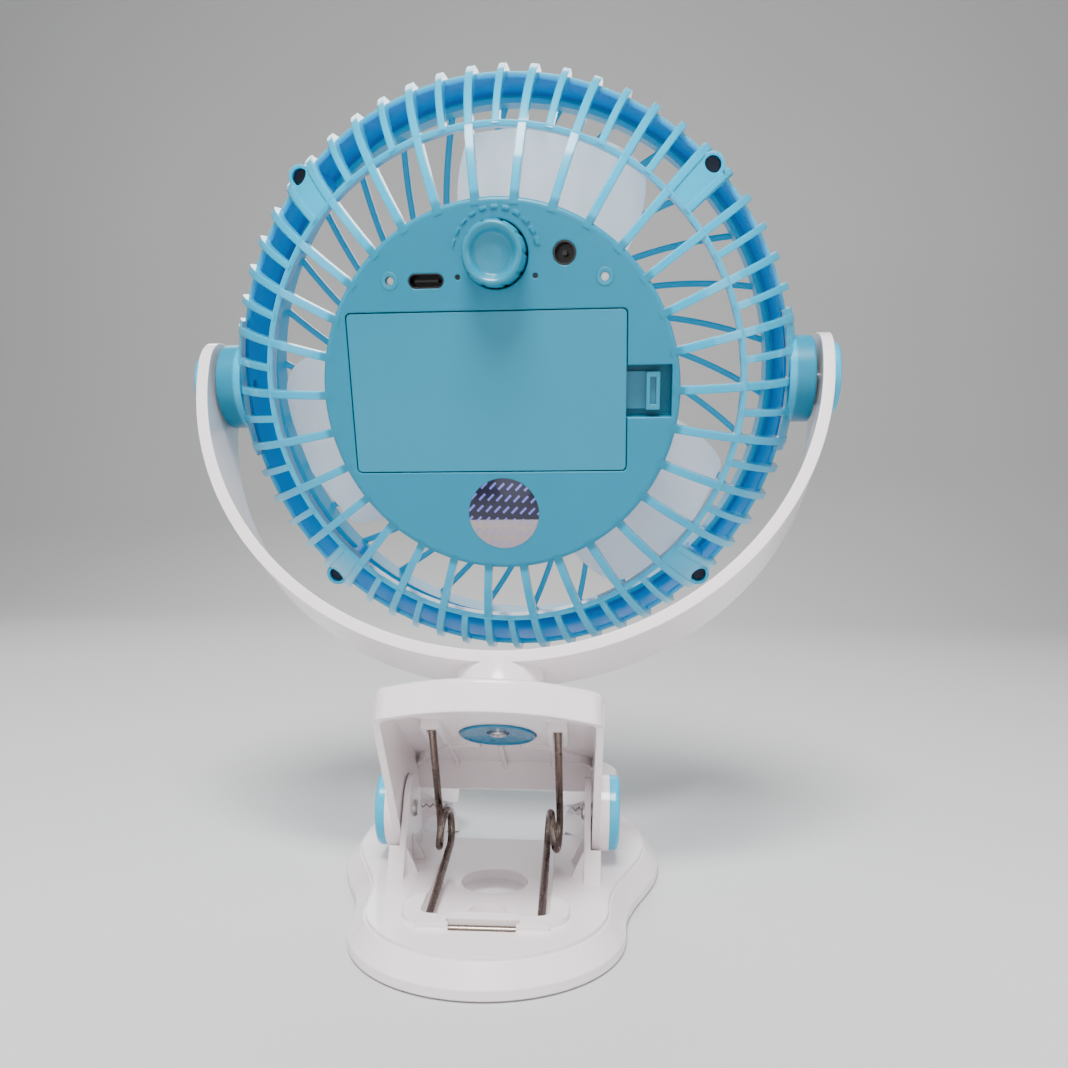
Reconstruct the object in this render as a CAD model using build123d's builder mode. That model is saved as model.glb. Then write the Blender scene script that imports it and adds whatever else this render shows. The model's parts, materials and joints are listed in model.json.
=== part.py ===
"""Battery clip fan: a caged head in a U yoke on a sprung clip.

Row frame, millimetres: +Z up, z = 0 under the clip's sole, x = 0 on the plane of symmetry,
y = 0 at the clip's hinge, and +Y towards the squeeze handle. The air leaves towards -Y.
"""
from build123d import *
from math import acos, atan2, cos, degrees, hypot, log, pi, radians, sin, sqrt, tan
import os

os.makedirs("parts", exist_ok=True)

# ---------------------------------------------------------------- driving dimensions
# fits
RUNNING = 0.07          # radial clearance of a shaft in its hole
GAP = 0.35              # clearance between pieces that move past each other
SEAT = 0.05             # clearance of a fixed piece in its seat

# rest pose
LEVER_TILT = 27.3       # slope of the clip's roof
SWIVEL_TURN = -2.3      # yoke about the roof's normal
HEAD_TURN = -38.2       # head about the yoke's arms

# clip foot
SOLE_STAND = 0.6        # how far the rubber sole stands below the foot
SOLE_T = 1.6
SOLE_INSET = 4.0
FOOT_TOP = 9.3          # plateau height
EDGE_TOP = 3.2          # height of the foot's thin edge
EDGE_SLOPE = 4.2        # width of the sloped border
REAR_R = 37.0           # round rear end
REAR_Y = 73.8
EAR_X, EAR_Y = 49.2, -18.0
JAW_FRONT = -54.0
CLAW_X = 18.0           # half gap between the claw tips
BAY_X = 27.0            # half width of the bay between the claws
BAY_Y = -21.2           # root of the bay
RECESS_X, RECESS_Y = 16.8, 47.2
RECESS_DEPTH = 2.0
LIP_W, LIP_H = 5.0, 1.4
TAB_X = 9.3
POCKET_R, POCKET_Y = 9.4, 20.8
SLOT_R, SLOT_FRONT = 5.0, 36.0
POCKET_DEPTH = 3.4

# hinge
HINGE_Z = 23.9
POST_IN = 25.6          # inner face of a post
EAR_T = 1.8             # upper part of a post, inside the lever's barrel
POST_T = 4.8            # lower part of a post
POST_R = 10.4
POST_FRONT, POST_REAR = -15.0, 22.0
BARREL_R = 11.5
BARREL_OUT = 32.8
PIN_R = 2.5
PIN_HEAD_R, PIN_HEAD_T = 4.6, 1.6
HINGE_CAP_R, HINGE_CAP_T = 11.2, 3.0

# lever
ROOF_Y, ROOF_Z = 7.2, 48.8      # swivel axis on the underside of the roof
ROOF_T = 2.6
WALL = 2.1
LEVER_X = 29.9          # half width at the handle
LEVER_REAR = 47.2
HANDLE_R = 42.0         # round rear end of the handle
LEVER_CORNER = 34.0     # where the handle's round end starts
LEVER_FRONT = -69.0
JAW_X = 37.0            # half width at the jaws
HANDLE_SKIRT = 6.4
JAW_SKIRT = 9.1
LEVER_BAY = -36.7
BRACKET_X, BRACKET_S = 17.6, 12.0
SWIVEL_BOSS_R, SWIVEL_BOSS_T = 12.6, 2.8
ROOF_RIB_T, RIB_DROP = 1.4, 2.6
ARCH_MID, ARCH_END = -10.0, -33.0       # curved rib across the roof
SIDE_RIB_X = 15.5
OPEN_MAX = 30.0

# teeth
TOOTH_PITCH = 2.4
TOOTH_H = 1.3
TOOTH_COUNT = 7
TOOTH_Y = (-51.0, -43.5)
TOOTH_FIRST = 20.5
LOWER_JAW_TOP = 10.2    # valley of the lower teeth
JAW_CLEAR = 0.6         # the upper teeth mesh this far above the lower ones

# spring
WIRE_R = 1.0
COIL_R = 5.45           # to the wire's centre
COIL_X, COIL_Y, COIL_Z = 16.4, 3.2, 18.7
COIL_TURNS = 2
COIL_PITCH = 2.9
BEND_R = 3.6
WIRE_END_X = 14.6       # lower legs where they dive under the lip
CROSSBAR_Y, CROSSBAR_Z = 51.3, 8.3

# yoke
YOKE_RISE = 118.2       # tilt axis above the roof's underside
STRAP_R = 100.2
STRAP_T = 3.6
STRAP_HALF = 12.0
ARM_R = 14.0
PEDESTAL_R, PEDESTAL_NECK = 17.0, 12.8
SPIGOT_R = 6.0
WASHER_R, WASHER_T = 11.3, 2.9
SWIVEL_SCREW_R, SWIVEL_HEAD_R = 2.0, 4.2
YOKE_CAP_R, YOKE_CAP_T = 11.0, 2.8
TILT_SCREW_R = 2.5
TILT_HEAD_R, TILT_HEAD_T = 5.0, 1.5
BOSS_R, BOSS_X = 13.3, 95.0
TILT_WASHER_R, TILT_WASHER_T = 8.0, 0.9

# head: z points to the rear from the tilt axis
DISC_R, DISC_Z, DISC_T = 52.0, 39.3, 3.0
DRUM_R, DRUM_WALL = 50.6, 1.8
CAGE_ARC_R = 53.1           # the cage's outer curve, about (CAGE_ARC_X, CAGE_ARC_Z)
CAGE_ARC_X, CAGE_ARC_Z = 39.9, -12.7
FIN_R = 90.3
FIN_TOP, FIN_END = 4.0, -3.5
RIB_W, SHORT_RIB_W, RIB_DEPTH = 2.3, 2.0, 3.2
RIB_COUNT = 30
RING_R, RING_W = 70.9, 1.7
BAND_R, BAND_WALL = 88.0, 1.8
BAND_REAR, BAND_FRONT = 5.0, -20.0
PLATE_ANGLE = 8.0
GRILLE_SCREW_R, GRILLE_SCREW_AT = 1.4, 86.2
GRILLE_HEAD_R, GRILLE_HEAD_Z = 2.3, 9.0
SCREW_BOSS_R = 3.6
BOSS_WALL_ANGLE = 28.0
WINDOW_WALL, WALL_DROP = 2.3, 0.3    # solid parts of the cage lie a little below its ribs

# front grille
GRILLE_FRONT = -25.0
GRILLE_DOME = 9.0
GRILLE_T = 2.4
FLANGE_R, FLANGE_WALL = 84.6, 1.6
FLANGE_REAR = -14.0
SWIRL_IN, SWIRL_OUT, SWIRL_W = 22.0, 84.0, 2.0
SWIRL_RATE = 0.51
GRILLE_RING_R = 79.0
GRILLE_CAP_R, GRILLE_CAP_T = 23.0, 2.0
PEG_R = 2.5

# battery, door and latch
DOOR_LEFT, DOOR_RIGHT, DOOR_HALF = -43.9, 36.8, 22.7
DOOR_T, DOOR_POCKET = 1.8, 2.0
LEDGE = 3.3
BAY_WALL = 1.2
CELL_R, CELL_L = 9.2, 65.0
NUB_R, NUB_L = 3.2, 1.2
BAY_FLOOR_Z = 17.4
TAB_Y, TAB_W = 11.0, 6.0
LATCH_X = 49.5          # right end of the latch recess
LATCH_HALF, LOOP_HALF = 7.3, 5.3
LOOP_IN, LOOP_OUT = 42.2, 46.1
LATCH_FLOOR_Z = 32.6
DOOR_OPEN = 75.0

# controls, at (x, y) on the disc
KNOB_Y, KNOB_R, KNOB_H = 37.2, 8.7, 9.0
KNOB_HOLE_R = 9.15
KNOB_DISH_R = 11.0
STEM_R = 3.0
USB_X, USB_Y, USB_W, USB_H = -19.9, 30.7, 9.3, 3.2
USB_WALL = 0.35
DC_X, DC_Y, DC_R = 19.1, 37.2, 3.2
JACK_L = 8.0
DC_PIN_R = 0.7
LED_X, LED_Y, LED_R = 10.9, 31.5, 0.75
HOUSING_SCREW_X, HOUSING_SCREW_Y = 30.3, 30.9
HOUSING_SCREW_R = 1.3
DASH_R, DASH_COUNT = 12.0, 11
DASH_FIRST, DASH_LAST = 165.0, 15.0
BOARD_Z, BOARD_T = 28.0, 1.6

# motor and rotor
PLATE_Z, PLATE_T = 13.0, 2.0
MOTOR_R, MOTOR_L = 12.0, 21.0
SHAFT_R, SHAFT_DEPTH = 1.5, 5.0
HUB_R, HUB_WALL = 19.0, 2.0
HUB_REAR, HUB_FRONT = 8.0, -14.0
BLADE_COUNT = 3
BLADE_R = 75.0
BLADE_T = 1.7
BLADE_FIRST = 77.0      # angle of the first blade
BLADE_HALF_CHORD = 38.0
BLADE_CAMBER = 3.0
BLADE_Z = -3.0
BLADE_RADII = (14.0, 35.0, 56.0, 77.0)
BLADE_PITCH = (34.0, 27.0, 21.0, 17.0)

# ---------------------------------------------------------------- frames
ROOF_FRAME = Location((0, ROOF_Y, ROOF_Z), (LEVER_TILT, 0, 0))
YOKE_FRAME = ROOF_FRAME * Location((0, 0, YOKE_RISE), (0, 0, SWIVEL_TURN))
HEAD_FRAME = YOKE_FRAME * Location((0, 0, 0), (HEAD_TURN, 0, 0))
FAN_FRAME = HEAD_FRAME * Plane(origin=(0, 0, 0), x_dir=(-1, 0, 0), z_dir=(0, 1, 0)).location


def in_roof_frame(y, z):
    """The row's (y, z), seen along and across the lever's roof."""
    dy, dz = y - ROOF_Y, z - ROOF_Z
    slope = radians(LEVER_TILT)
    return (dy * cos(slope) + dz * sin(slope), -dy * sin(slope) + dz * cos(slope))


def from_roof_frame(along, across):
    """The row's (y, z) of a point given along and across the lever's roof."""
    slope = radians(LEVER_TILT)
    return (
        ROOF_Y + along * cos(slope) - across * sin(slope),
        ROOF_Z + along * sin(slope) + across * cos(slope),
    )


def polar(radius, angle):
    return (radius * cos(radians(angle)), radius * sin(radians(angle)))


def tangent_point(point, centre, radius, side):
    """Where a line from the point touches the circle, on the left (1) or the right (-1)."""
    dx, dy = point[0] - centre[0], point[1] - centre[1]
    angle = atan2(dy, dx) + side * acos(radius / hypot(dx, dy))
    return (centre[0] + radius * cos(angle), centre[1] + radius * sin(angle))


# ---------------------------------------------------------------- clip foot
HINGE = (0, HINGE_Z)
CHEEK_IN = LEVER_X - WALL
BORDER_TOP = FOOT_TOP - 1.1
RECESS_Z = FOOT_TOP - RECESS_DEPTH
WIRE_ROOM = WIRE_R + GAP


def foot_face(inset):
    """Outline of the foot, drawn in by inset everywhere but in the bay."""
    with BuildSketch() as face:
        with BuildLine():
            rear = CenterArc((0, REAR_Y - REAR_R), REAR_R - inset, 0, 90)
            waist = Spline(rear @ 0, (EAR_X - inset, EAR_Y), tangents=((0, -1), (0, -1)))
            front = (CLAW_X + 7, JAW_FRONT + inset)
            ear = Spline(waist @ 1, front, tangents=((0, -1), (-1, 0)))
            tip = TangentArc(ear @ 1, (CLAW_X + inset / 3, JAW_FRONT + 5 + inset / 2), tangent=(-1, 0))
            claw = TangentArc(tip @ 1, (BAY_X, BAY_Y - 12), tangent=(1, 1))
            side = Line(claw @ 1, (BAY_X, BAY_Y - 3))
            corner = RadiusArc(side @ 1, (BAY_X - 3, BAY_Y), -3)
            Line(corner @ 1, (0, BAY_Y))
            mirror(about=Plane.YZ)
        make_face()
    return face.sketch


def tooth_row(low, high):
    """Half of a toothed jaw block in the XZ plane, with its serrated edge at the low height."""
    points = [(TOOTH_FIRST, high), (TOOTH_FIRST, low)]
    for tooth in range(TOOTH_COUNT):
        left = TOOTH_FIRST + tooth * TOOTH_PITCH
        points += [(left + TOOTH_PITCH / 2, low + TOOTH_H), (left + TOOTH_PITCH, low)]
    return points + [(TOOTH_FIRST + TOOTH_COUNT * TOOTH_PITCH, high)]


with BuildPart() as lower_teeth:
    with BuildSketch(Plane.XZ.offset(-TOOTH_Y[1])):
        Polygon(*tooth_row(LOWER_JAW_TOP, FOOT_TOP - 3), align=None)
    extrude(amount=TOOTH_Y[1] - TOOTH_Y[0])
    mirror(about=Plane.YZ)
    with BuildSketch():
        add(foot_face(1.5))
    extrude(amount=2 * FOOT_TOP, mode=Mode.INTERSECT)

# slopes of the cheeks' lower edges: the rear one with the clip open, the front one with it shut
HANDLE_CORNER = from_roof_frame(LEVER_CORNER, -HANDLE_SKIRT)
CHEEK_TOUCH = tangent_point(HANDLE_CORNER, HINGE, BARREL_R, -1)
OPEN_SLOPE = degrees(atan2(HANDLE_CORNER[1] - CHEEK_TOUCH[1], HANDLE_CORNER[0] - CHEEK_TOUCH[0])) - OPEN_MAX
JAW_CORNER = from_roof_frame(LEVER_BAY, -JAW_SKIRT)
JAW_TOUCH = tangent_point(JAW_CORNER, HINGE, BARREL_R, 1)
SHUT_SLOPE = degrees(atan2(JAW_TOUCH[1] - JAW_CORNER[1], JAW_TOUCH[0] - JAW_CORNER[0]))

with BuildPart() as clip_base:
    with BuildSketch(Plane.XY.offset(SOLE_STAND)):
        add(foot_face(0))
    extrude(amount=EDGE_TOP - SOLE_STAND)
    with BuildSketch(Plane.XY.offset(EDGE_TOP)):
        add(foot_face(0))
    with BuildSketch(Plane.XY.offset(BORDER_TOP)):
        add(foot_face(EDGE_SLOPE))
    loft(ruled=True)
    with BuildSketch(Plane.XY.offset(BORDER_TOP)):
        add(foot_face(EDGE_SLOPE + 0.6))
    extrude(amount=FOOT_TOP - BORDER_TOP)
    # raised lip round the rear of the spring recess
    with BuildSketch(Plane.XY.offset(FOOT_TOP)):
        with Locations((0, RECESS_Y + LIP_W - 10)):
            RectangleRounded(2 * (RECESS_X + LIP_W), 20, 8)
    extrude(amount=LIP_H)
    with BuildSketch(Plane.XY.offset(RECESS_Z)):
        with Locations((0, (RECESS_Y + BAY_Y) / 2 - 6)):
            RectangleRounded(2 * RECESS_X, RECESS_Y - BAY_Y + 12, 3)
    extrude(amount=FOOT_TOP, mode=Mode.SUBTRACT)
    # tab that the spring's crossbar hooks behind
    with BuildSketch(Plane.XY.offset(RECESS_Z)):
        with Locations((0, RECESS_Y - 0.2)):
            Rectangle(2 * TAB_X, 3.2)
    extrude(amount=RECESS_DEPTH + LIP_H + 0.5)
    with BuildSketch(Plane.XY.offset(CROSSBAR_Z - WIRE_ROOM)):
        with Locations((0, CROSSBAR_Y)):
            Rectangle(2 * TAB_X, 2 * WIRE_ROOM)
    extrude(amount=FOOT_TOP, mode=Mode.SUBTRACT)
    # channels of the wire under the lip
    with BuildSketch(Plane.XY.offset(CROSSBAR_Z - WIRE_ROOM)):
        with Locations((0, CROSSBAR_Y)):
            Rectangle(2 * (WIRE_END_X + WIRE_ROOM), 2 * WIRE_ROOM)
        with Locations((WIRE_END_X - 1, RECESS_Y + 1), (1 - WIRE_END_X, RECESS_Y + 1)):
            Rectangle(2 * WIRE_ROOM + 3, 2 * (CROSSBAR_Y + WIRE_ROOM - RECESS_Y - 1))
    extrude(amount=2 * WIRE_ROOM + 0.45, mode=Mode.SUBTRACT)
    # hanger pockets
    with BuildSketch(Plane.XY.offset(RECESS_Z - POCKET_DEPTH)):
        with Locations((0, POCKET_Y)):
            Circle(POCKET_R)
        with Locations((0, SLOT_FRONT + SLOT_R)):
            Circle(SLOT_R)
        with Locations((0, (SLOT_FRONT + SLOT_R + RECESS_Y) / 2)):
            Rectangle(2 * SLOT_R, RECESS_Y - SLOT_FRONT - SLOT_R)
    extrude(amount=POCKET_DEPTH, mode=Mode.SUBTRACT)
    # hinge posts: a thick lower part and a thin ear beside the lever's barrel
    foot_line = FOOT_TOP - 1
    front_touch = tangent_point((POST_FRONT, foot_line), HINGE, POST_R, -1)
    rear_touch = tangent_point((POST_REAR, foot_line), HINGE, POST_R, 1)
    post_points = ((POST_FRONT, foot_line), (POST_REAR, foot_line), rear_touch, front_touch)
    with BuildSketch(Plane.YZ.offset(POST_IN)) as post_side:
        Polygon(*post_points, align=None)
        with Locations(HINGE):
            Circle(POST_R)
    extrude(amount=EAR_T)
    with BuildSketch(Plane.YZ.offset(POST_IN)):
        add(post_side.sketch_local)
        with Locations(HINGE):
            Circle(BARREL_R + 2 * GAP, mode=Mode.SUBTRACT)
        with Locations(Location((0, HINGE_Z), OPEN_SLOPE)):
            with Locations((0, -BARREL_R - 2 * GAP)):
                Rectangle(90, 90, align=(Align.MIN, Align.MIN), mode=Mode.SUBTRACT)
        with Locations(Location((0, HINGE_Z), SHUT_SLOPE)):
            with Locations((0, -BARREL_R - 2 * GAP)):
                Rectangle(90, 90, align=(Align.MAX, Align.MIN), mode=Mode.SUBTRACT)
    extrude(amount=POST_T)
    # gussets against the inner faces of the posts
    for gusset_y in (POST_REAR - 6, POST_REAR - 18):
        with BuildSketch(Plane.XZ.offset(-gusset_y)):
            Polygon((POST_IN, foot_line), (POST_IN - 4, foot_line), (POST_IN, FOOT_TOP + 8), align=None)
        extrude(amount=1.4)
    with BuildSketch(Plane.YZ.offset(POST_IN)):
        with Locations(HINGE):
            Circle(PIN_R + RUNNING)
    extrude(amount=POST_T, mode=Mode.SUBTRACT)
    add(lower_teeth.part)
    split(bisect_by=Plane.YZ, keep=Keep.TOP)
    mirror(about=Plane.YZ)
    # recess of the sole
    with BuildSketch():
        add(foot_face(SOLE_INSET))
    extrude(amount=SOLE_T, mode=Mode.SUBTRACT)

with BuildPart() as clip_sole:
    with BuildSketch():
        add(foot_face(SOLE_INSET + SEAT))
    extrude(amount=SOLE_T)

# ---------------------------------------------------------------- clip lever (roof frame)
HINGE_S, HINGE_H = in_roof_frame(0, HINGE_Z)
HINGE_LOCAL = (HINGE_S, HINGE_H)


def handle_face(inset):
    """Outline of the lever behind the bay, in the plane of its roof, drawn in by inset."""
    with BuildSketch() as face:
        with BuildLine():
            crown = CenterArc((0, LEVER_REAR - HANDLE_R), HANDLE_R - inset, 58, 32)
            start = (LEVER_X - inset, LEVER_CORNER - 2)
            Spline(start, crown @ 0, tangents=((0, 1), crown % 0))
            Polyline(start, (LEVER_X - inset, LEVER_BAY + inset), (0, LEVER_BAY + inset))
            mirror(about=Plane.YZ)
        make_face()
    return face.sketch


with BuildSketch() as jaw_outline:
    with BuildLine():
        flare = Spline((LEVER_X, LEVER_BAY + 4), (JAW_X, LEVER_FRONT + 12), tangents=((0, -1), (0, -1)))
        nose = Spline(flare @ 1, (CLAW_X + 6, LEVER_FRONT), tangents=((0, -1), (-1, 0)))
        tip = TangentArc(nose @ 1, (CLAW_X, LEVER_FRONT + 5), tangent=(-1, 0))
        claw = TangentArc(tip @ 1, (BAY_X, LEVER_BAY - 12), tangent=(1, 1))
        Polyline(claw @ 1, (BAY_X, LEVER_BAY), (0, LEVER_BAY), (0, LEVER_BAY + 4))
        Line((0, LEVER_BAY + 4), flare @ 0)
    make_face()
    mirror(about=Plane.YZ)

lever_rear_touch = tangent_point((LEVER_CORNER, -HANDLE_SKIRT), HINGE_LOCAL, BARREL_R, -1)
lever_front_touch = tangent_point((LEVER_BAY, -JAW_SKIRT), HINGE_LOCAL, BARREL_R, 1)

with BuildPart() as upper_teeth:
    with BuildSketch(Plane.XZ.offset(-TOOTH_Y[1])):
        Polygon(*tooth_row(LOWER_JAW_TOP + JAW_CLEAR, ROOF_Z), align=None)
    extrude(amount=TOOTH_Y[1] - TOOTH_Y[0])
    mirror(about=Plane.YZ)

with BuildPart() as upper_jaw:
    add(upper_teeth.part.moved(ROOF_FRAME.inverse()))
    with BuildSketch(Plane.XY.offset(-ROOF_Z / 2)):
        add(jaw_outline.sketch)
    extrude(amount=ROOF_Z / 2, mode=Mode.INTERSECT)

with BuildPart() as clip_lever:
    with BuildSketch(Plane.XY.offset(-JAW_SKIRT)):
        add(handle_face(0))
        add(jaw_outline.sketch)
    extrude(amount=JAW_SKIRT + ROOF_T)
    rim = clip_lever.edges().group_by(Axis.Z)[-1]
    fillet(rim.filter_by(lambda edge: abs((edge @ 0.5).X) > BAY_X + 0.1 or (edge @ 0.5).Y > 0), 1.5)
    with BuildSketch(Plane.XY.offset(-JAW_SKIRT)):
        add(handle_face(WALL))
    extrude(amount=JAW_SKIRT, mode=Mode.SUBTRACT)
    with Locations((0, LEVER_REAR, -HANDLE_SKIRT)):
        Box(
            2 * JAW_X,
            2 * (LEVER_REAR - LEVER_BAY - 6),
            JAW_SKIRT,
            align=(Align.CENTER, Align.CENTER, Align.MAX),
            mode=Mode.SUBTRACT,
        )
    # level underside of the jaws above the lower teeth
    jaw_floor = LOWER_JAW_TOP + TOOTH_H + GAP
    floor_points = ((JAW_FRONT - 9, jaw_floor), (BAY_Y, jaw_floor), (BAY_Y, 0), (JAW_FRONT - 9, 0))
    with BuildSketch(Plane.YZ):
        Polygon(*[in_roof_frame(y, z) for y, z in floor_points], align=None)
    extrude(amount=2 * JAW_X, both=True, mode=Mode.SUBTRACT)
    add(upper_jaw.part)
    # cheeks running down to the hinge barrels
    with BuildSketch(Plane.YZ.offset(CHEEK_IN)) as cheek:
        Polygon(
            (LEVER_CORNER, 0),
            (LEVER_CORNER, -HANDLE_SKIRT),
            lever_rear_touch,
            lever_front_touch,
            (LEVER_BAY, -JAW_SKIRT),
            (LEVER_BAY, 0),
            align=None,
        )
        with Locations(HINGE_LOCAL):
            Circle(BARREL_R)
    extrude(amount=WALL)
    with BuildSketch(Plane.YZ.offset(CHEEK_IN)):
        with Locations(HINGE_LOCAL):
            Circle(BARREL_R)
    extrude(amount=BARREL_OUT - CHEEK_IN)
    with BuildSketch(Plane.YZ.offset(CHEEK_IN)):
        with Locations(HINGE_LOCAL):
            Circle(PIN_R + SEAT)
    extrude(amount=BARREL_OUT, mode=Mode.SUBTRACT)
    with BuildSketch(Plane.YZ.offset(BARREL_OUT - PIN_HEAD_T)):
        with Locations(HINGE_LOCAL):
            Circle(PIN_HEAD_R + SEAT)
    extrude(amount=PIN_HEAD_T, mode=Mode.SUBTRACT)
    # swivel boss and ribs under the roof
    with BuildSketch(Plane.XY.offset(-SWIVEL_BOSS_T)):
        Circle(SWIVEL_BOSS_R)
    extrude(amount=SWIVEL_BOSS_T)
    with BuildSketch(Plane.XY.offset(-RIB_DROP)):
        with BuildLine():
            ThreePointArc((-CHEEK_IN, ARCH_END), (0, ARCH_MID), (CHEEK_IN, ARCH_END))
            offset(amount=ROOF_RIB_T / 2)
        make_face()
        with Locations((0, (ARCH_MID + LEVER_BAY) / 2)):
            Rectangle(ROOF_RIB_T, ARCH_MID - LEVER_BAY)
        with Locations((SIDE_RIB_X, (LEVER_BAY - 14) / 2), (-SIDE_RIB_X, (LEVER_BAY - 14) / 2)):
            Rectangle(ROOF_RIB_T, -LEVER_BAY - 12)
    extrude(amount=RIB_DROP)
    # brackets over the spring's upper ends
    with BuildSketch(Plane.XY.offset(-RIB_DROP)):
        with Locations((BRACKET_X, BRACKET_S + 3), (-BRACKET_X, BRACKET_S + 3)):
            Rectangle(2 * (WIRE_ROOM + ROOF_RIB_T), 18, align=(Align.CENTER, Align.MAX))
        with Locations((BRACKET_X, BRACKET_S + 3 - ROOF_RIB_T), (-BRACKET_X, BRACKET_S + 3 - ROOF_RIB_T)):
            Rectangle(2 * WIRE_ROOM, 18, align=(Align.CENTER, Align.MAX), mode=Mode.SUBTRACT)
    extrude(amount=RIB_DROP)
    with BuildSketch(Plane.XY.offset(-SWIVEL_BOSS_T)):
        Circle(SPIGOT_R + RUNNING)
    extrude(amount=SWIVEL_BOSS_T + ROOF_T, mode=Mode.SUBTRACT)
    split(bisect_by=Plane.YZ, keep=Keep.TOP)
    mirror(about=Plane.YZ)


def both_sides(piece):
    """The piece on +X together with its mirror image."""
    with BuildPart() as pair:
        add(piece)
        mirror(about=Plane.YZ)
    return pair.part


with BuildPart() as hinge_pins:
    with BuildSketch(Plane.YZ.offset(POST_IN - 1)):
        with Locations(HINGE_LOCAL):
            Circle(PIN_R)
    extrude(amount=BARREL_OUT - POST_IN + 1)
    chamfer(hinge_pins.edges().group_by(Axis.X)[0], 0.5)
    with BuildSketch(Plane.YZ.offset(BARREL_OUT - PIN_HEAD_T + SEAT)):
        with Locations(HINGE_LOCAL):
            Circle(PIN_HEAD_R)
    extrude(amount=PIN_HEAD_T - 2 * SEAT)
    mirror(about=Plane.YZ)

with BuildPart() as hinge_cap:
    with BuildSketch(Plane.YZ.offset(BARREL_OUT)):
        with Locations(HINGE_LOCAL):
            Circle(HINGE_CAP_R)
    extrude(amount=HINGE_CAP_T)
    fillet(hinge_cap.edges().group_by(Axis.X)[-1], 1.2)


# ---------------------------------------------------------------- clip spring (row frame)
def biarc_joint(start, start_dir, end, end_dir):
    """The two arcs' meeting point, and the direction there."""
    span, total = end - start, start_dir + end_dir
    turn = 2 * (1 - start_dir.dot(end_dir))
    reach = (sqrt(span.dot(total) ** 2 + 2 * turn * span.dot(span)) - span.dot(total)) / turn
    first, second = start + start_dir * reach, end - end_dir * reach
    return (first + second) * 0.5, (second - first).normalized()


wire_end = Vector(BRACKET_X, *from_roof_frame(BRACKET_S, -WIRE_ROOM))
wire_corner = Vector(WIRE_END_X, CROSSBAR_Y, CROSSBAR_Z)


def leg_angle(point, side):
    """Angle on the coil at which a leg from the point touches it."""
    touch = tangent_point((point.Y, point.Z), (COIL_Y, COIL_Z), COIL_R, side)
    return atan2(touch[1] - COIL_Z, touch[0] - COIL_Y)


def coil_point(angle, x):
    return Vector(x, COIL_Y + COIL_R * cos(angle), COIL_Z + COIL_R * sin(angle))


coil_start = leg_angle(wire_end, 1)
coil_end = leg_angle(wire_corner, -1) + 2 * pi * (COIL_TURNS + 1)
coil_steps = 4 * COIL_TURNS + 2
coil_rise = COIL_PITCH / (2 * pi)
coil_half = coil_rise * (coil_end - coil_start) / 2
coil_nodes = []
for step in range(coil_steps + 1):
    angle = coil_start + (coil_end - coil_start) * step / coil_steps
    point = coil_point(angle, COIL_X + coil_half * (1 - 2 * step / coil_steps))
    along = Vector(-coil_rise, -COIL_R * sin(angle), COIL_R * cos(angle)).normalized()
    coil_nodes.append((point, along))
upper_dir = (coil_nodes[0][0] - wire_end).normalized()
lower_dir = (wire_corner - coil_nodes[-1][0]).normalized()
coil_nodes[0] = (coil_nodes[0][0], upper_dir)
coil_nodes[-1] = (coil_nodes[-1][0], lower_dir)
bend_reach = BEND_R * tan(acos(lower_dir.dot(Vector(-1, 0, 0))) / 2)
bend_start = wire_corner - lower_dir * bend_reach
bend_end = wire_corner - Vector(bend_reach, 0, 0)

with BuildPart() as clip_spring:
    with BuildLine() as wire_path:
        Line(wire_end, coil_nodes[0][0])
        for (near, near_dir), (far, far_dir) in zip(coil_nodes, coil_nodes[1:]):
            joint, joint_dir = biarc_joint(near, near_dir, far, far_dir)
            TangentArc(near, joint, tangent=near_dir)
            TangentArc(joint, far, tangent=joint_dir)
        Line(coil_nodes[-1][0], bend_start)
        TangentArc(bend_start, bend_end, tangent=lower_dir)
        Line(bend_end, (0, CROSSBAR_Y, CROSSBAR_Z))
    with BuildSketch(Plane(origin=wire_end, z_dir=upper_dir)):
        Circle(WIRE_R)
    sweep(path=wire_path.line)
    mirror(about=Plane.YZ)

# least gap of the coiled wire to its own next turn, measured on points of the path
wire = wire_path.wire()
coil_points = [wire @ (k / 1200) for k in range(1201)]
wire_step = wire.length / 1200
skip = int(1.5 * pi * COIL_R / wire_step)
least = min(
    (a - b).length - 2 * WIRE_R
    for k, a in enumerate(coil_points)
    for b in coil_points[k + skip :]
)
print("least gap of the spring's wire to itself: %.3f mm" % least)


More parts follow.
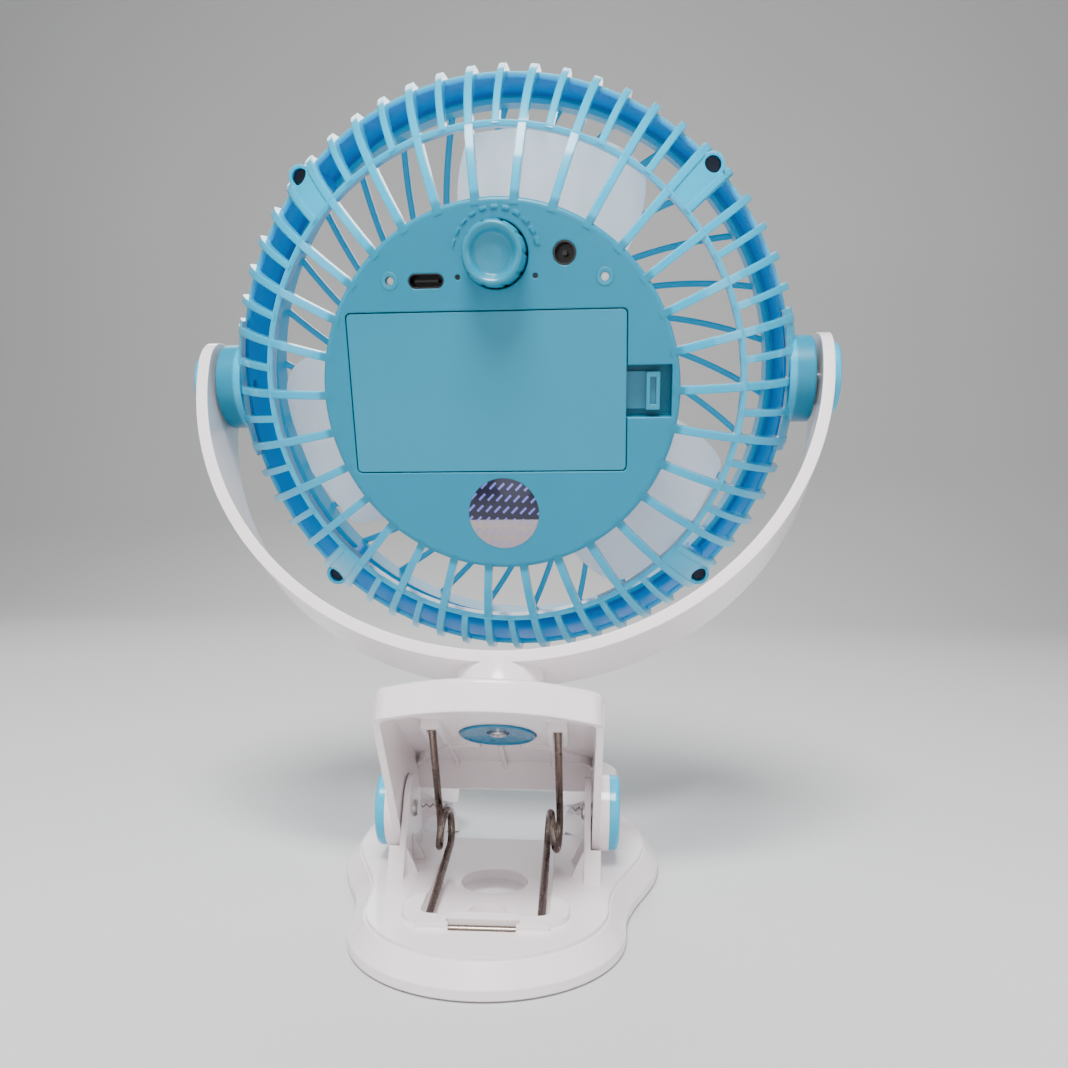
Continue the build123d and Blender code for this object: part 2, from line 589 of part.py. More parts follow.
# ---------------------------------------------------------------- yoke (yoke frame)
PEDESTAL_Z = -YOKE_RISE + ROOF_T + GAP
SPIGOT_Z = -YOKE_RISE - SWIVEL_BOSS_T - GAP
STRAP_IN = STRAP_R - STRAP_T
with BuildPart() as yoke:
    with BuildSketch(Plane.XZ):
        with BuildLine():
            RadiusArc((STRAP_R, 0), (-STRAP_R, 0), -STRAP_R, short_sagitta=False)
            Polyline((-STRAP_R, 0), (-STRAP_R, ARM_R), (-STRAP_IN, ARM_R), (-STRAP_IN, 0))
            RadiusArc((-STRAP_IN, 0), (STRAP_IN, 0), STRAP_IN, short_sagitta=False)
            Polyline((STRAP_IN, 0), (STRAP_IN, ARM_R), (STRAP_R, ARM_R), (STRAP_R, 0))
        make_face()
    extrude(amount=ARM_R, both=True)
    with BuildSketch(Plane.YZ):
        Circle(ARM_R)
        Polygon(
            (-ARM_R, 0), (ARM_R, 0), (STRAP_HALF, -STRAP_R - 1), (-STRAP_HALF, -STRAP_R - 1), align=None
        )
    extrude(amount=STRAP_R + 1, both=True, mode=Mode.INTERSECT)
    with BuildSketch(Plane.XZ):
        with BuildLine():
            neck_top = (PEDESTAL_NECK, -STRAP_R + 2.5)
            foot_top = (PEDESTAL_R, PEDESTAL_Z + 3)
            Line((0, -STRAP_R + 2.5), neck_top)
            Line(neck_top, (PEDESTAL_NECK, -STRAP_R))
            Spline((PEDESTAL_NECK, -STRAP_R), foot_top, tangents=((0, -1), (1, -0.5)))
            Polyline(foot_top, (PEDESTAL_R, PEDESTAL_Z), (SPIGOT_R, PEDESTAL_Z), (SPIGOT_R, SPIGOT_Z))
            Polyline((SPIGOT_R, SPIGOT_Z), (0, SPIGOT_Z), (0, -STRAP_R + 2.5))
        make_face()
    revolve(axis=Axis.Z)
    with BuildSketch(Plane.XY.offset(SPIGOT_Z)):
        Circle(SWIVEL_SCREW_R + SEAT)
    extrude(amount=14, mode=Mode.SUBTRACT)
    with BuildSketch(Plane.YZ.offset(-STRAP_R - 1)):
        Circle(TILT_SCREW_R + RUNNING)
    extrude(amount=2 * STRAP_R + 2, mode=Mode.SUBTRACT)

with BuildPart() as swivel_washer:
    with BuildSketch(Plane.XZ):
        Polygon(
            (SWIVEL_SCREW_R + SEAT, SPIGOT_Z),
            (WASHER_R, SPIGOT_Z),
            (WASHER_R, SPIGOT_Z - WASHER_T),
            (WASHER_R - 0.9, SPIGOT_Z - WASHER_T),
            (SWIVEL_HEAD_R + 0.8, SPIGOT_Z - 1),
            (SWIVEL_SCREW_R + SEAT, SPIGOT_Z - 1),
            align=None,
        )
    revolve(axis=Axis.Z)

with BuildPart() as swivel_screw:
    with BuildSketch(Plane.XY.offset(SPIGOT_Z - 1)):
        Circle(SWIVEL_SCREW_R)
    extrude(amount=13)
    with BuildSketch(Plane.XY.offset(SPIGOT_Z - 1)):
        Circle(SWIVEL_HEAD_R)
    extrude(amount=-1.7)
    fillet(swivel_screw.edges().group_by(Axis.Z)[0], 0.7)
    with BuildSketch(Plane.XY.offset(SPIGOT_Z - 2.7)):
        Rectangle(4.6, 1)
        Rectangle(1, 4.6)
    extrude(amount=1, mode=Mode.SUBTRACT)

with BuildPart() as yoke_cap:
    with BuildSketch(Plane.YZ.offset(STRAP_R)):
        Circle(YOKE_CAP_R)
    extrude(amount=YOKE_CAP_T)
    fillet(yoke_cap.edges().group_by(Axis.X)[-1], 1.1)
    with BuildSketch(Plane.YZ.offset(STRAP_R)):
        Circle(TILT_HEAD_R + 2 * GAP)
    extrude(amount=TILT_HEAD_T + 2 * GAP, mode=Mode.SUBTRACT)


# ---------------------------------------------------------------- head (fan frame)
def cage_z(radius, depth=0.0):
    """Height of the cage's curve at a radius, depth below its outer face."""
    return CAGE_ARC_Z + sqrt((CAGE_ARC_R - depth) ** 2 - (radius - CAGE_ARC_X) ** 2)


def cage_r(height, depth=0.0):
    """Radius of the cage's curve at a height, depth below its outer face."""
    return CAGE_ARC_X + sqrt((CAGE_ARC_R - depth) ** 2 - (height - CAGE_ARC_Z) ** 2)


def cage_shell(first, outer_depth, inner_depth):
    """Band of the cage in the XZ plane from a radius out to the fins' foot."""
    outer_end, inner_end = cage_r(FIN_TOP, outer_depth), cage_r(FIN_TOP, inner_depth)
    outer_mid, inner_mid = (first + outer_end) / 2, (first + inner_end) / 2
    with BuildSketch(Plane.XZ) as shell:
        with BuildLine():
            outer = ThreePointArc(
                (first, cage_z(first, outer_depth)),
                (outer_mid, cage_z(outer_mid, outer_depth)),
                (outer_end, FIN_TOP),
            )
            inner = ThreePointArc(
                (inner_end, FIN_TOP),
                (inner_mid, cage_z(inner_mid, inner_depth)),
                (first, cage_z(first, inner_depth)),
            )
            Line(outer @ 1, inner @ 0)
            Line(inner @ 1, outer @ 0)
        make_face()
    return shell.sketch


def rib(first, width):
    """One rib of the cage along +X, with its fin down the band."""
    with BuildPart() as bar:
        with BuildSketch(Plane.XZ):
            add(cage_shell(first, 0, RIB_DEPTH))
            with Locations(((FIN_R + BAND_R - 1) / 2, (FIN_TOP + FIN_END) / 2)):
                Rectangle(FIN_R - BAND_R + 1, FIN_TOP - FIN_END)
        extrude(amount=width / 2, both=True)
    return bar.part


BAY_LEFT, BAY_RIGHT, BAY_HALF = DOOR_LEFT + LEDGE, DOOR_RIGHT - LEDGE, DOOR_HALF - LEDGE / 1.2
BAY_X_MID, BAY_LEN = (BAY_LEFT + BAY_RIGHT) / 2, BAY_RIGHT - BAY_LEFT
DOOR_MID, DOOR_LEN = (DOOR_LEFT + DOOR_RIGHT) / 2, DOOR_RIGHT - DOOR_LEFT
DISC_IN = DISC_Z - DISC_T
DRUM_IN = DRUM_R - DRUM_WALL
HOUSING_SCREWS = [(side * HOUSING_SCREW_X, HOUSING_SCREW_Y) for side in (-1, 1)]
GRILLE_SCREWS = [polar(GRILLE_SCREW_AT, angle) for angle in (45, 135, 225, 315)]

with BuildPart() as rear_housing:
    with BuildSketch(Plane.XY.offset(PLATE_Z)):
        Circle(DRUM_R)
    extrude(amount=DISC_IN - PLATE_Z)
    with BuildSketch(Plane.XY.offset(PLATE_Z)):
        Circle(DRUM_IN)
    extrude(amount=DISC_IN - PLATE_Z, mode=Mode.SUBTRACT)
    with BuildSketch(Plane.XY.offset(DISC_IN)):
        Circle(DISC_R)
    extrude(amount=DISC_T)
    fillet(rear_housing.edges().group_by(Axis.Z)[-1], 1.4)
    # battery bay
    with BuildSketch(Plane.XY.offset(BAY_FLOOR_Z - BAY_WALL)):
        with Locations((BAY_X_MID, 0)):
            Rectangle(BAY_LEN + 2 * BAY_WALL, 2 * (BAY_HALF + BAY_WALL))
    extrude(amount=DISC_IN - BAY_FLOOR_Z + BAY_WALL)
    # latch well
    with BuildSketch(Plane.XY.offset(LATCH_FLOOR_Z - BAY_WALL)):
        with Locations((DOOR_RIGHT - LEDGE, 0)):
            Rectangle(
                LATCH_X + BAY_WALL - DOOR_RIGHT + LEDGE,
                2 * (LATCH_HALF + BAY_WALL),
                align=(Align.MIN, Align.CENTER),
            )
        Circle(DRUM_R, mode=Mode.INTERSECT)
    extrude(amount=DISC_IN - LATCH_FLOOR_Z + BAY_WALL)
    with BuildSketch(Plane.XY.offset(LATCH_FLOOR_Z)):
        with Locations((DOOR_RIGHT - LEDGE / 2, 0)):
            Rectangle(LATCH_X - DOOR_RIGHT + LEDGE / 2, 2 * LATCH_HALF, align=(Align.MIN, Align.CENTER))
    extrude(amount=DISC_Z - LATCH_FLOOR_Z, mode=Mode.SUBTRACT)
    with BuildSketch(Plane.XY.offset(BAY_FLOOR_Z)):
        with Locations((BAY_X_MID, 0)):
            Rectangle(BAY_LEN, 2 * BAY_HALF)
    extrude(amount=DISC_Z - BAY_FLOOR_Z, mode=Mode.SUBTRACT)
    with BuildSketch(Plane.XY.offset(DISC_Z - DOOR_POCKET)):
        with Locations((DOOR_MID, 0)):
            RectangleRounded(DOOR_LEN, 2 * DOOR_HALF, 1.5)
    extrude(amount=DOOR_POCKET, mode=Mode.SUBTRACT)
    # notches for the door's tabs
    with BuildSketch(Plane.XY.offset(DISC_IN - 2.4)):
        with Locations((DOOR_LEFT - 1.6, TAB_Y), (DOOR_LEFT - 1.6, -TAB_Y)):
            Rectangle(LEDGE + 2, TAB_W + 2 * GAP, align=(Align.MIN, Align.CENTER))
    extrude(amount=2.4, mode=Mode.SUBTRACT)
    with BuildSketch(Plane.XY.offset(DISC_IN)):
        with Locations((DOOR_LEFT, TAB_Y), (DOOR_LEFT, -TAB_Y)):
            Rectangle(LEDGE + 1, TAB_W + 2 * GAP, align=(Align.MIN, Align.CENTER))
    extrude(amount=DISC_T - DOOR_POCKET, mode=Mode.SUBTRACT)
    # posts for the screws that hold the motor plate
    with BuildSketch(Plane.XY.offset(PLATE_Z + PLATE_T)):
        with Locations(*HOUSING_SCREWS):
            Circle(HOUSING_SCREW_R + 1.8)
    extrude(amount=DISC_IN - PLATE_Z - PLATE_T)
    # holes of the controls
    with BuildSketch(Plane.XY.offset(DISC_Z)):
        with Locations((0, KNOB_Y)):
            Circle(KNOB_HOLE_R)
        with Locations((USB_X, USB_Y)):
            SlotOverall(USB_W + 2 * (USB_WALL + SEAT), USB_H + 2 * (USB_WALL + SEAT))
        with Locations((DC_X, DC_Y)):
            Circle(DC_R + SEAT)
        with Locations((LED_X, LED_Y), (-LED_X, LED_Y)):
            Circle(LED_R)
        with Locations(*HOUSING_SCREWS):
            Circle(HOUSING_SCREW_R + 0.6)
    extrude(amount=-DISC_T, mode=Mode.SUBTRACT)
    with BuildSketch(Plane.XY.offset(DISC_Z)):
        with Locations(*HOUSING_SCREWS):
            Circle(HOUSING_SCREW_R + 0.1)
    extrude(amount=PLATE_Z - DISC_Z, mode=Mode.SUBTRACT)
    # speed marks round the knob
    for dash in range(DASH_COUNT):
        share = dash / (DASH_COUNT - 1)
        angle = DASH_FIRST + (DASH_LAST - DASH_FIRST) * share
        with BuildSketch(Plane.XY.offset(DISC_Z)):
            x, y = polar(DASH_R, angle)
            with Locations(Location((x, KNOB_Y + y), angle)):
                Rectangle(0.5 + 0.8 * share, 1.9)
        extrude(amount=0.25)
    # cage
    with PolarLocations(0, RIB_COUNT):
        add(rib(DRUM_R - 0.6, RIB_W))
    with PolarLocations(0, RIB_COUNT, start_angle=180 / RIB_COUNT):
        add(rib(RING_R, SHORT_RIB_W))
    with BuildSketch(Plane.XZ):
        with Locations((RING_R, (cage_z(RING_R) + cage_z(RING_R, RIB_DEPTH)) / 2)):
            Rectangle(RING_W, RIB_DEPTH + 0.4)
        with Locations((BAND_R, BAND_REAR)):
            Rectangle(BAND_WALL, BAND_REAR - BAND_FRONT, align=(Align.MAX, Align.MAX))
    revolve(axis=Axis.Z)
    # screw plates with their bosses
    with BuildPart(mode=Mode.PRIVATE) as plates:
        with BuildSketch(Plane.XZ) as plate_profile:
            add(cage_shell(RING_R, WALL_DROP, WINDOW_WALL))
        revolve(axis=Axis.Z, revolution_arc=PLATE_ANGLE)
    with BuildPart(mode=Mode.PRIVATE) as boss_wall:
        with BuildSketch(Plane.XZ):
            add(cage_shell(cage_r(BOSS_R), WALL_DROP, WINDOW_WALL))
            with Locations((cage_r(FIN_TOP, WALL_DROP), FIN_TOP)):
                Rectangle(FIN_R - BAND_R + 1, FIN_TOP + BOSS_R, align=(Align.MAX, Align.MAX))
        revolve(axis=Axis.Z, revolution_arc=BOSS_WALL_ANGLE)
    for angle in (45, 135, 225, 315):
        add(plates.part.rotate(Axis.Z, angle - PLATE_ANGLE / 2))
    for angle in (0, 180):
        add(boss_wall.part.rotate(Axis.Z, angle - BOSS_WALL_ANGLE / 2))
    with BuildSketch(Plane.XY.offset(BAND_FRONT)):
        with Locations(*GRILLE_SCREWS):
            Circle(SCREW_BOSS_R)
    extrude(amount=cage_z(GRILLE_SCREW_AT) - 1 - BAND_FRONT)
    with BuildSketch(Plane.XY.offset(GRILLE_HEAD_Z)):
        with Locations(*GRILLE_SCREWS):
            Circle(GRILLE_HEAD_R + 0.2)
    extrude(amount=DISC_Z, mode=Mode.SUBTRACT)
    with BuildSketch(Plane.XY.offset(BAND_FRONT)):
        with Locations(*GRILLE_SCREWS):
            Circle(GRILLE_SCREW_R + SEAT)
    extrude(amount=DISC_Z, mode=Mode.SUBTRACT)
    # tilt bosses
    for side in (1, -1):
        with BuildSketch(Plane.YZ.offset(side * (BAND_R - 1.2))):
            Circle(BOSS_R)
        extrude(amount=side * (BOSS_X - BAND_R + 1.2))
    with BuildSketch(Plane.YZ.offset(-BOSS_X)):
        Circle(TILT_SCREW_R + SEAT)
    extrude(amount=2 * BOSS_X, mode=Mode.SUBTRACT)
    chamfer(
        rear_housing.edges().filter_by(GeomType.CIRCLE).filter_by(
            lambda edge: abs(edge.radius - BOSS_R) < 0.01 and abs(abs(edge.center().X) - BOSS_X) < 0.01
        ),
        0.6,
    )


# ---------------------------------------------------------------- front grille (fan frame)
def swirl_point(radius, side):
    """A point on one edge of the first spoke, side half widths from its middle line."""
    turn = -degrees(SWIRL_RATE * log(radius / SWIRL_IN))
    lean = -degrees(atan2(SWIRL_RATE, 1))
    x, y = polar(radius, turn)
    dx, dy = polar(side * SWIRL_W / 2, turn + lean + 90)
    return (x + dx, y + dy)


SWIRL_RADII = [SWIRL_IN - 2 + (SWIRL_OUT + 0.5 - SWIRL_IN + 2) * step / 5 for step in range(6)]
RIM_TOP = BAND_FRONT - SEAT
with BuildPart() as front_grille:
    with BuildSketch(Plane.XY.offset(GRILLE_FRONT - GRILLE_DOME - 1)):
        with BuildSketch(mode=Mode.PRIVATE) as spoke:
            with BuildLine():
                near = Spline(*[swirl_point(radius, -1) for radius in SWIRL_RADII])
                far = Spline(*[swirl_point(radius, 1) for radius in SWIRL_RADII])
                Line(near @ 0, far @ 0)
                Line(near @ 1, far @ 1)
            make_face()
        with PolarLocations(0, RIB_COUNT):
            add(spoke.sketch)
        Circle(SWIRL_IN)
        with BuildSketch(mode=Mode.PRIVATE) as ring:
            Circle(GRILLE_RING_R + RING_W / 2)
            Circle(GRILLE_RING_R - RING_W / 2, mode=Mode.SUBTRACT)
        add(ring.sketch)
    extrude(amount=GRILLE_DOME + GRILLE_T + 2)
    with BuildSketch(Plane.XZ):
        with BuildLine():
            front = ThreePointArc(
                (0, GRILLE_FRONT - GRILLE_DOME),
                (SWIRL_OUT / 2, GRILLE_FRONT - 0.75 * GRILLE_DOME),
                (SWIRL_OUT + 1, GRILLE_FRONT),
            )
            rear = ThreePointArc(
                (SWIRL_OUT + 1, GRILLE_FRONT + GRILLE_T),
                (SWIRL_OUT / 2, GRILLE_FRONT - 0.75 * GRILLE_DOME + GRILLE_T),
                (0, GRILLE_FRONT - GRILLE_DOME + GRILLE_T),
            )
            Line(front @ 1, rear @ 0)
            Line(rear @ 1, front @ 0)
        make_face()
    revolve(axis=Axis.Z, mode=Mode.INTERSECT)
    with BuildSketch(Plane.XZ):
        with Locations((SWIRL_OUT - 0.5, GRILLE_FRONT)):
            Rectangle(BAND_R - SWIRL_OUT + 0.5, RIM_TOP - GRILLE_FRONT, align=(Align.MIN, Align.MIN))
        with Locations((FLANGE_R, GRILLE_FRONT)):
            Rectangle(FLANGE_WALL, FLANGE_REAR - GRILLE_FRONT, align=(Align.MAX, Align.MIN))
    revolve(axis=Axis.Z)
    with BuildSketch(Plane.XY.offset(GRILLE_FRONT)):
        with Locations(*GRILLE_SCREWS):
            Circle(SCREW_BOSS_R)
    extrude(amount=RIM_TOP - GRILLE_FRONT)
    with BuildSketch(Plane.XY.offset(RIM_TOP)):
        with Locations(*GRILLE_SCREWS):
            Circle(SCREW_BOSS_R + GAP)
    extrude(amount=FLANGE_REAR - RIM_TOP, mode=Mode.SUBTRACT)
    with BuildSketch(Plane.XY.offset(RIM_TOP)):
        with Locations(*GRILLE_SCREWS):
            Circle(GRILLE_SCREW_R + SEAT)
    extrude(amount=-4, mode=Mode.SUBTRACT)
    with BuildSketch(Plane.XY.offset(GRILLE_FRONT - GRILLE_DOME - 1)):
        Circle(PEG_R + SEAT)
    extrude(amount=GRILLE_T + 2, mode=Mode.SUBTRACT)

CAP_REAR = GRILLE_FRONT - GRILLE_DOME - SEAT
with BuildPart() as grille_cap:
    with BuildSketch(Plane.XY.offset(CAP_REAR)):
        Circle(GRILLE_CAP_R)
    extrude(amount=-GRILLE_CAP_T)
    fillet(grille_cap.edges().group_by(Axis.Z)[0], 1.2)
    with BuildSketch(Plane.XY.offset(CAP_REAR)):
        Circle(PEG_R)
    extrude(amount=GRILLE_T)


# ---------------------------------------------------------------- motor and rotor (fan frame)
with BuildPart() as motor_plate:
    with BuildSketch(Plane.XY.offset(PLATE_Z)):
        Circle(DRUM_IN - SEAT)
        with Locations(*HOUSING_SCREWS):
            Circle(HOUSING_SCREW_R + SEAT, mode=Mode.SUBTRACT)
    extrude(amount=PLATE_T)

MOTOR_FRONT = PLATE_Z - MOTOR_L
with BuildPart() as motor_case:
    with BuildSketch(Plane.XY.offset(PLATE_Z)):
        Circle(MOTOR_R)
    extrude(amount=-MOTOR_L)
    chamfer(motor_case.edges().group_by(Axis.Z)[0], 1.2)
    with BuildSketch(Plane.XY.offset(MOTOR_FRONT)):
        Circle(SHAFT_R + RUNNING)
    extrude(amount=SHAFT_DEPTH + GAP, mode=Mode.SUBTRACT)

with BuildPart() as motor_shaft:
    with BuildSketch(Plane.XY.offset(HUB_FRONT + 1)):
        Circle(SHAFT_R)
    extrude(amount=MOTOR_FRONT + SHAFT_DEPTH - HUB_FRONT - 1)

with BuildPart() as blade:
    for radius, pitch in zip(BLADE_RADII, BLADE_PITCH):
        section = Plane(origin=(radius, 0, BLADE_Z), x_dir=(0, 1, 0), z_dir=(1, 0, 0))
        with BuildSketch(section.rotated((0, 0, pitch))):
            with BuildLine():
                top = ThreePointArc(
                    (-BLADE_HALF_CHORD, 0), (0, BLADE_CAMBER + BLADE_T / 2), (BLADE_HALF_CHORD, 0)
                )
                low = ThreePointArc(
                    (-BLADE_HALF_CHORD, -BLADE_T / 2),
                    (0, BLADE_CAMBER - BLADE_T / 2),
                    (BLADE_HALF_CHORD, -BLADE_T / 2),
                )
                Line(top @ 0, low @ 0)
                Line(top @ 1, low @ 1)
            make_face()
    loft()
    with BuildSketch(Plane.XY.offset(BLADE_Z - BLADE_HALF_CHORD)):
        with BuildLine():
            root = (HUB_R - HUB_WALL / 2, 9)
            edge = Spline(root, (46, 27), (64, 28.5), tangents=((1, 0.9), (1, -0.15)))
            tip = (BLADE_R, 0)
            Spline(edge @ 1, tip, tangents=(edge % 1, (0, -1)))
            mirror(about=Plane.XZ)
            Line(root, (root[0], -root[1]))
        make_face()
    extrude(amount=2 * BLADE_HALF_CHORD, mode=Mode.INTERSECT)

with BuildPart() as fan_blade:
    with BuildSketch(Plane.XY.offset(HUB_FRONT)):
        Circle(HUB_R)
    extrude(amount=HUB_REAR - HUB_FRONT)
    fillet(fan_blade.edges().group_by(Axis.Z)[0], 3)
    with PolarLocations(0, BLADE_COUNT, start_angle=BLADE_FIRST):
        add(blade.part)
    with BuildSketch(Plane.XY.offset(HUB_FRONT + HUB_WALL)):
        Circle(HUB_R - HUB_WALL)
    extrude(amount=HUB_REAR - HUB_FRONT, mode=Mode.SUBTRACT)
    with BuildSketch(Plane.XY.offset(HUB_FRONT + 1)):
        Circle(SHAFT_R + 3)
    extrude(amount=MOTOR_FRONT - 1 - HUB_FRONT - 1)
    with BuildSketch(Plane.XY.offset(HUB_FRONT + 1)):
        Circle(SHAFT_R + SEAT)
    extrude(amount=HUB_REAR - HUB_FRONT, mode=Mode.SUBTRACT)


# ---------------------------------------------------------------- battery and door (fan frame)
CELL_Z = BAY_FLOOR_Z + CELL_R + 0.3
CELLS = [(BAY_X_MID, side * (CELL_R + 0.4), CELL_Z) for side in (-1, 1)]
with BuildPart() as battery_cells:
    with Locations(*CELLS):
        Cylinder(CELL_R, CELL_L, rotation=(0, 90, 0))
    with Locations(*[(x + CELL_L / 2, y, z) for x, y, z in CELLS]):
        Cylinder(NUB_R, NUB_L, rotation=(0, 90, 0), align=(Align.CENTER, Align.CENTER, Align.MIN))

CONTACT_ROOM = (BAY_LEN - CELL_L) / 2
with BuildPart() as battery_contacts:
    for end, reach in ((BAY_LEFT + SEAT, CONTACT_ROOM), (BAY_RIGHT - SEAT, NUB_L - CONTACT_ROOM)):
        inward = 1 if reach > 0 else -1
        with BuildSketch(Plane.YZ.offset(end)):
            with Locations((0, CELL_Z)):
                Rectangle(2 * CELL_R + 14, 12)
        extrude(amount=inward * 0.5)
        with BuildSketch(Plane.YZ.offset(end)):
            with Locations((CELLS[0][1], CELL_Z), (CELLS[1][1], CELL_Z)):
                Circle(NUB_R)
        extrude(amount=reach - inward * 2 * SEAT)

PLATE_LEFT, PLATE_RIGHT = DOOR_LEFT + GAP, DOOR_RIGHT - GAP
PLATE_LOW = DISC_Z - DOOR_T - 0.1
LATCH_LOW = LATCH_FLOOR_Z + 2 * GAP
HOOK_TOP = DISC_IN - GAP
with BuildPart() as battery_door:
    with BuildSketch(Plane.XY.offset(PLATE_LOW)):
        with Locations((DOOR_MID, 0)):
            RectangleRounded(PLATE_RIGHT - PLATE_LEFT, 2 * (DOOR_HALF - GAP), 1.3)
    extrude(amount=DOOR_T)
    # tabs that hook under the disc
    with BuildSketch(Plane.XY.offset(HOOK_TOP - 1.6)):
        with Locations((PLATE_LEFT, TAB_Y), (PLATE_LEFT, -TAB_Y)):
            Rectangle(2.2, TAB_W, align=(Align.MIN, Align.CENTER))
    extrude(amount=PLATE_LOW - HOOK_TOP + 1.6)
    with BuildSketch(Plane.XY.offset(HOOK_TOP - 1.6)):
        with Locations((DOOR_LEFT - 1, TAB_Y), (DOOR_LEFT - 1, -TAB_Y)):
            Rectangle(2.5, TAB_W, align=(Align.MIN, Align.CENTER))
    extrude(amount=1.6)
    # latch
    with BuildSketch(Plane.XZ):
        with BuildLine():
            Polyline(
                (PLATE_RIGHT - 1.0, DISC_Z - 1),
                (PLATE_RIGHT - 1.0, LATCH_LOW),
                (LOOP_OUT, LATCH_LOW),
                (LOOP_OUT, DISC_Z - 0.9),
                (LOOP_IN, DISC_Z - 0.9),
                (LOOP_IN, LATCH_LOW + 1.2),
                (PLATE_RIGHT, LATCH_LOW + 1.2),
                (PLATE_RIGHT, DISC_Z - 1),
                close=True,
            )
        make_face()
    extrude(amount=LOOP_HALF, both=True)
    with BuildSketch(Plane.XY.offset(DISC_Z)):
        with Locations(((LOOP_IN + LOOP_OUT) / 2, 0)):
            Rectangle(LOOP_OUT - LOOP_IN - 2.2, 2 * LOOP_HALF - 3)
    extrude(amount=-2.6, mode=Mode.SUBTRACT)


# ---------------------------------------------------------------- controls (fan frame)
BOARD_TOP = BOARD_Z + BOARD_T
with BuildPart() as control_board:
    with BuildSketch(Plane.XY.offset(BOARD_Z)):
        Circle(DRUM_IN - 1)
        with Locations((0, BAY_HALF + BAY_WALL + 1)):
            Rectangle(2 * DRUM_R, DRUM_R, align=(Align.CENTER, Align.MIN), mode=Mode.INTERSECT)
        with Locations(*HOUSING_SCREWS):
            Circle(HOUSING_SCREW_R + 1.8 + SEAT, mode=Mode.SUBTRACT)
    extrude(amount=BOARD_T)

with BuildPart() as usb_socket:
    with BuildSketch(Plane.XY.offset(BOARD_TOP)):
        with Locations((USB_X, USB_Y)):
            SlotOverall(USB_W + 2 * USB_WALL, USB_H + 2 * USB_WALL)
    extrude(amount=DISC_Z - BOARD_TOP)
    with BuildSketch(Plane.XY.offset(DISC_Z)):
        with Locations((USB_X, USB_Y)):
            SlotOverall(USB_W, USB_H)
            Rectangle(USB_W - 2.6, 0.7, mode=Mode.SUBTRACT)
    extrude(amount=-7, mode=Mode.SUBTRACT)
    with BuildSketch(Plane.XY.offset(DISC_Z)):
        with Locations((USB_X, USB_Y)):
            SlotOverall(USB_W, USB_H)
    extrude(amount=-1, mode=Mode.SUBTRACT)

with BuildPart() as dc_socket:
    with BuildSketch(Plane.XY.offset(BOARD_TOP)):
        with Locations((DC_X, DC_Y)):
            Circle(DC_R)
    extrude(amount=DISC_Z - BOARD_TOP)
    with BuildSketch(Plane.XY.offset(DISC_Z)):
        with Locations((DC_X, DC_Y)):
            Circle(DC_R - 0.5)
            Circle(DC_PIN_R, mode=Mode.SUBTRACT)
    extrude(amount=-JACK_L, mode=Mode.SUBTRACT)
    with BuildSketch(Plane.XY.offset(DISC_Z)):
        with Locations((DC_X, DC_Y)):
            Circle(DC_R - 0.5)
    extrude(amount=-1, mode=Mode.SUBTRACT)

STEM_LOW = BOARD_TOP + 2
with BuildPart() as speed_control:
    with BuildSketch(Plane.XY.offset(BOARD_TOP)):
        with Locations((0, KNOB_Y)):
            Rectangle(12, 10)
    extrude(amount=DISC_IN - GAP - BOARD_TOP)
    with BuildSketch(Plane.XY.offset(STEM_LOW - GAP)):
        with Locations((0, KNOB_Y)):
            Circle(STEM_R + RUNNING)
    extrude(amount=DISC_IN - STEM_LOW, mode=Mode.SUBTRACT)

with BuildPart() as speed_knob:
    with BuildSketch(Plane.XY.offset(STEM_LOW)):
        with Locations((0, KNOB_Y)):
            Circle(STEM_R)
    extrude(amount=DISC_IN + 1 - STEM_LOW)
    with BuildSketch(Plane.XY.offset(DISC_IN + 0.5)):
        with Locations((0, KNOB_Y)):
            Circle(KNOB_R)
    extrude(amount=DISC_T - 0.5 + KNOB_H)
    fillet(speed_knob.edges().group_by(Axis.Z)[-1], 2)
    with Locations((0, KNOB_Y, DISC_Z + KNOB_H + KNOB_DISH_R - 1.3)):
        Sphere(KNOB_DISH_R, mode=Mode.SUBTRACT)

with BuildPart() as charge_leds:
    with BuildSketch(Plane.XY.offset(BOARD_TOP)):
        with Locations((LED_X, LED_Y), (-LED_X, LED_Y)):
            Circle(LED_R - SEAT)
    extrude(amount=DISC_Z - 0.4 - BOARD_TOP)


# ---------------------------------------------------------------- fasteners
with BuildPart() as housing_screws:
    with BuildSketch(Plane.XY.offset(PLATE_Z)):
        with Locations(*HOUSING_SCREWS):
            Circle(HOUSING_SCREW_R)
    extrude(amount=DISC_IN - PLATE_Z)
    with BuildSketch(Plane.XY.offset(DISC_IN)):
        with Locations(*HOUSING_SCREWS):
            Circle(HOUSING_SCREW_R + 0.5)
    extrude(amount=1.6)

with BuildPart() as grille_screws:
    with BuildSketch(Plane.XY.offset(BAND_FRONT - 3.8)):
        with Locations(*GRILLE_SCREWS):
            Circle(GRILLE_SCREW_R)
    extrude(amount=GRILLE_HEAD_Z - BAND_FRONT + 3.8)
    with BuildSketch(Plane.XY.offset(GRILLE_HEAD_Z)):
        with Locations(*GRILLE_SCREWS):
            Circle(GRILLE_HEAD_R)
    extrude(amount=2)

with BuildPart() as tilt_screw:
    with BuildSketch(Plane.YZ.offset(BAND_R)):
        Circle(TILT_SCREW_R)
    extrude(amount=STRAP_R + GAP - BAND_R)
    with BuildSketch(Plane.YZ.offset(STRAP_R + GAP)):
        Circle(TILT_HEAD_R)
    extrude(amount=TILT_HEAD_T)
    fillet(tilt_screw.edges().group_by(Axis.X)[-1], 0.5)

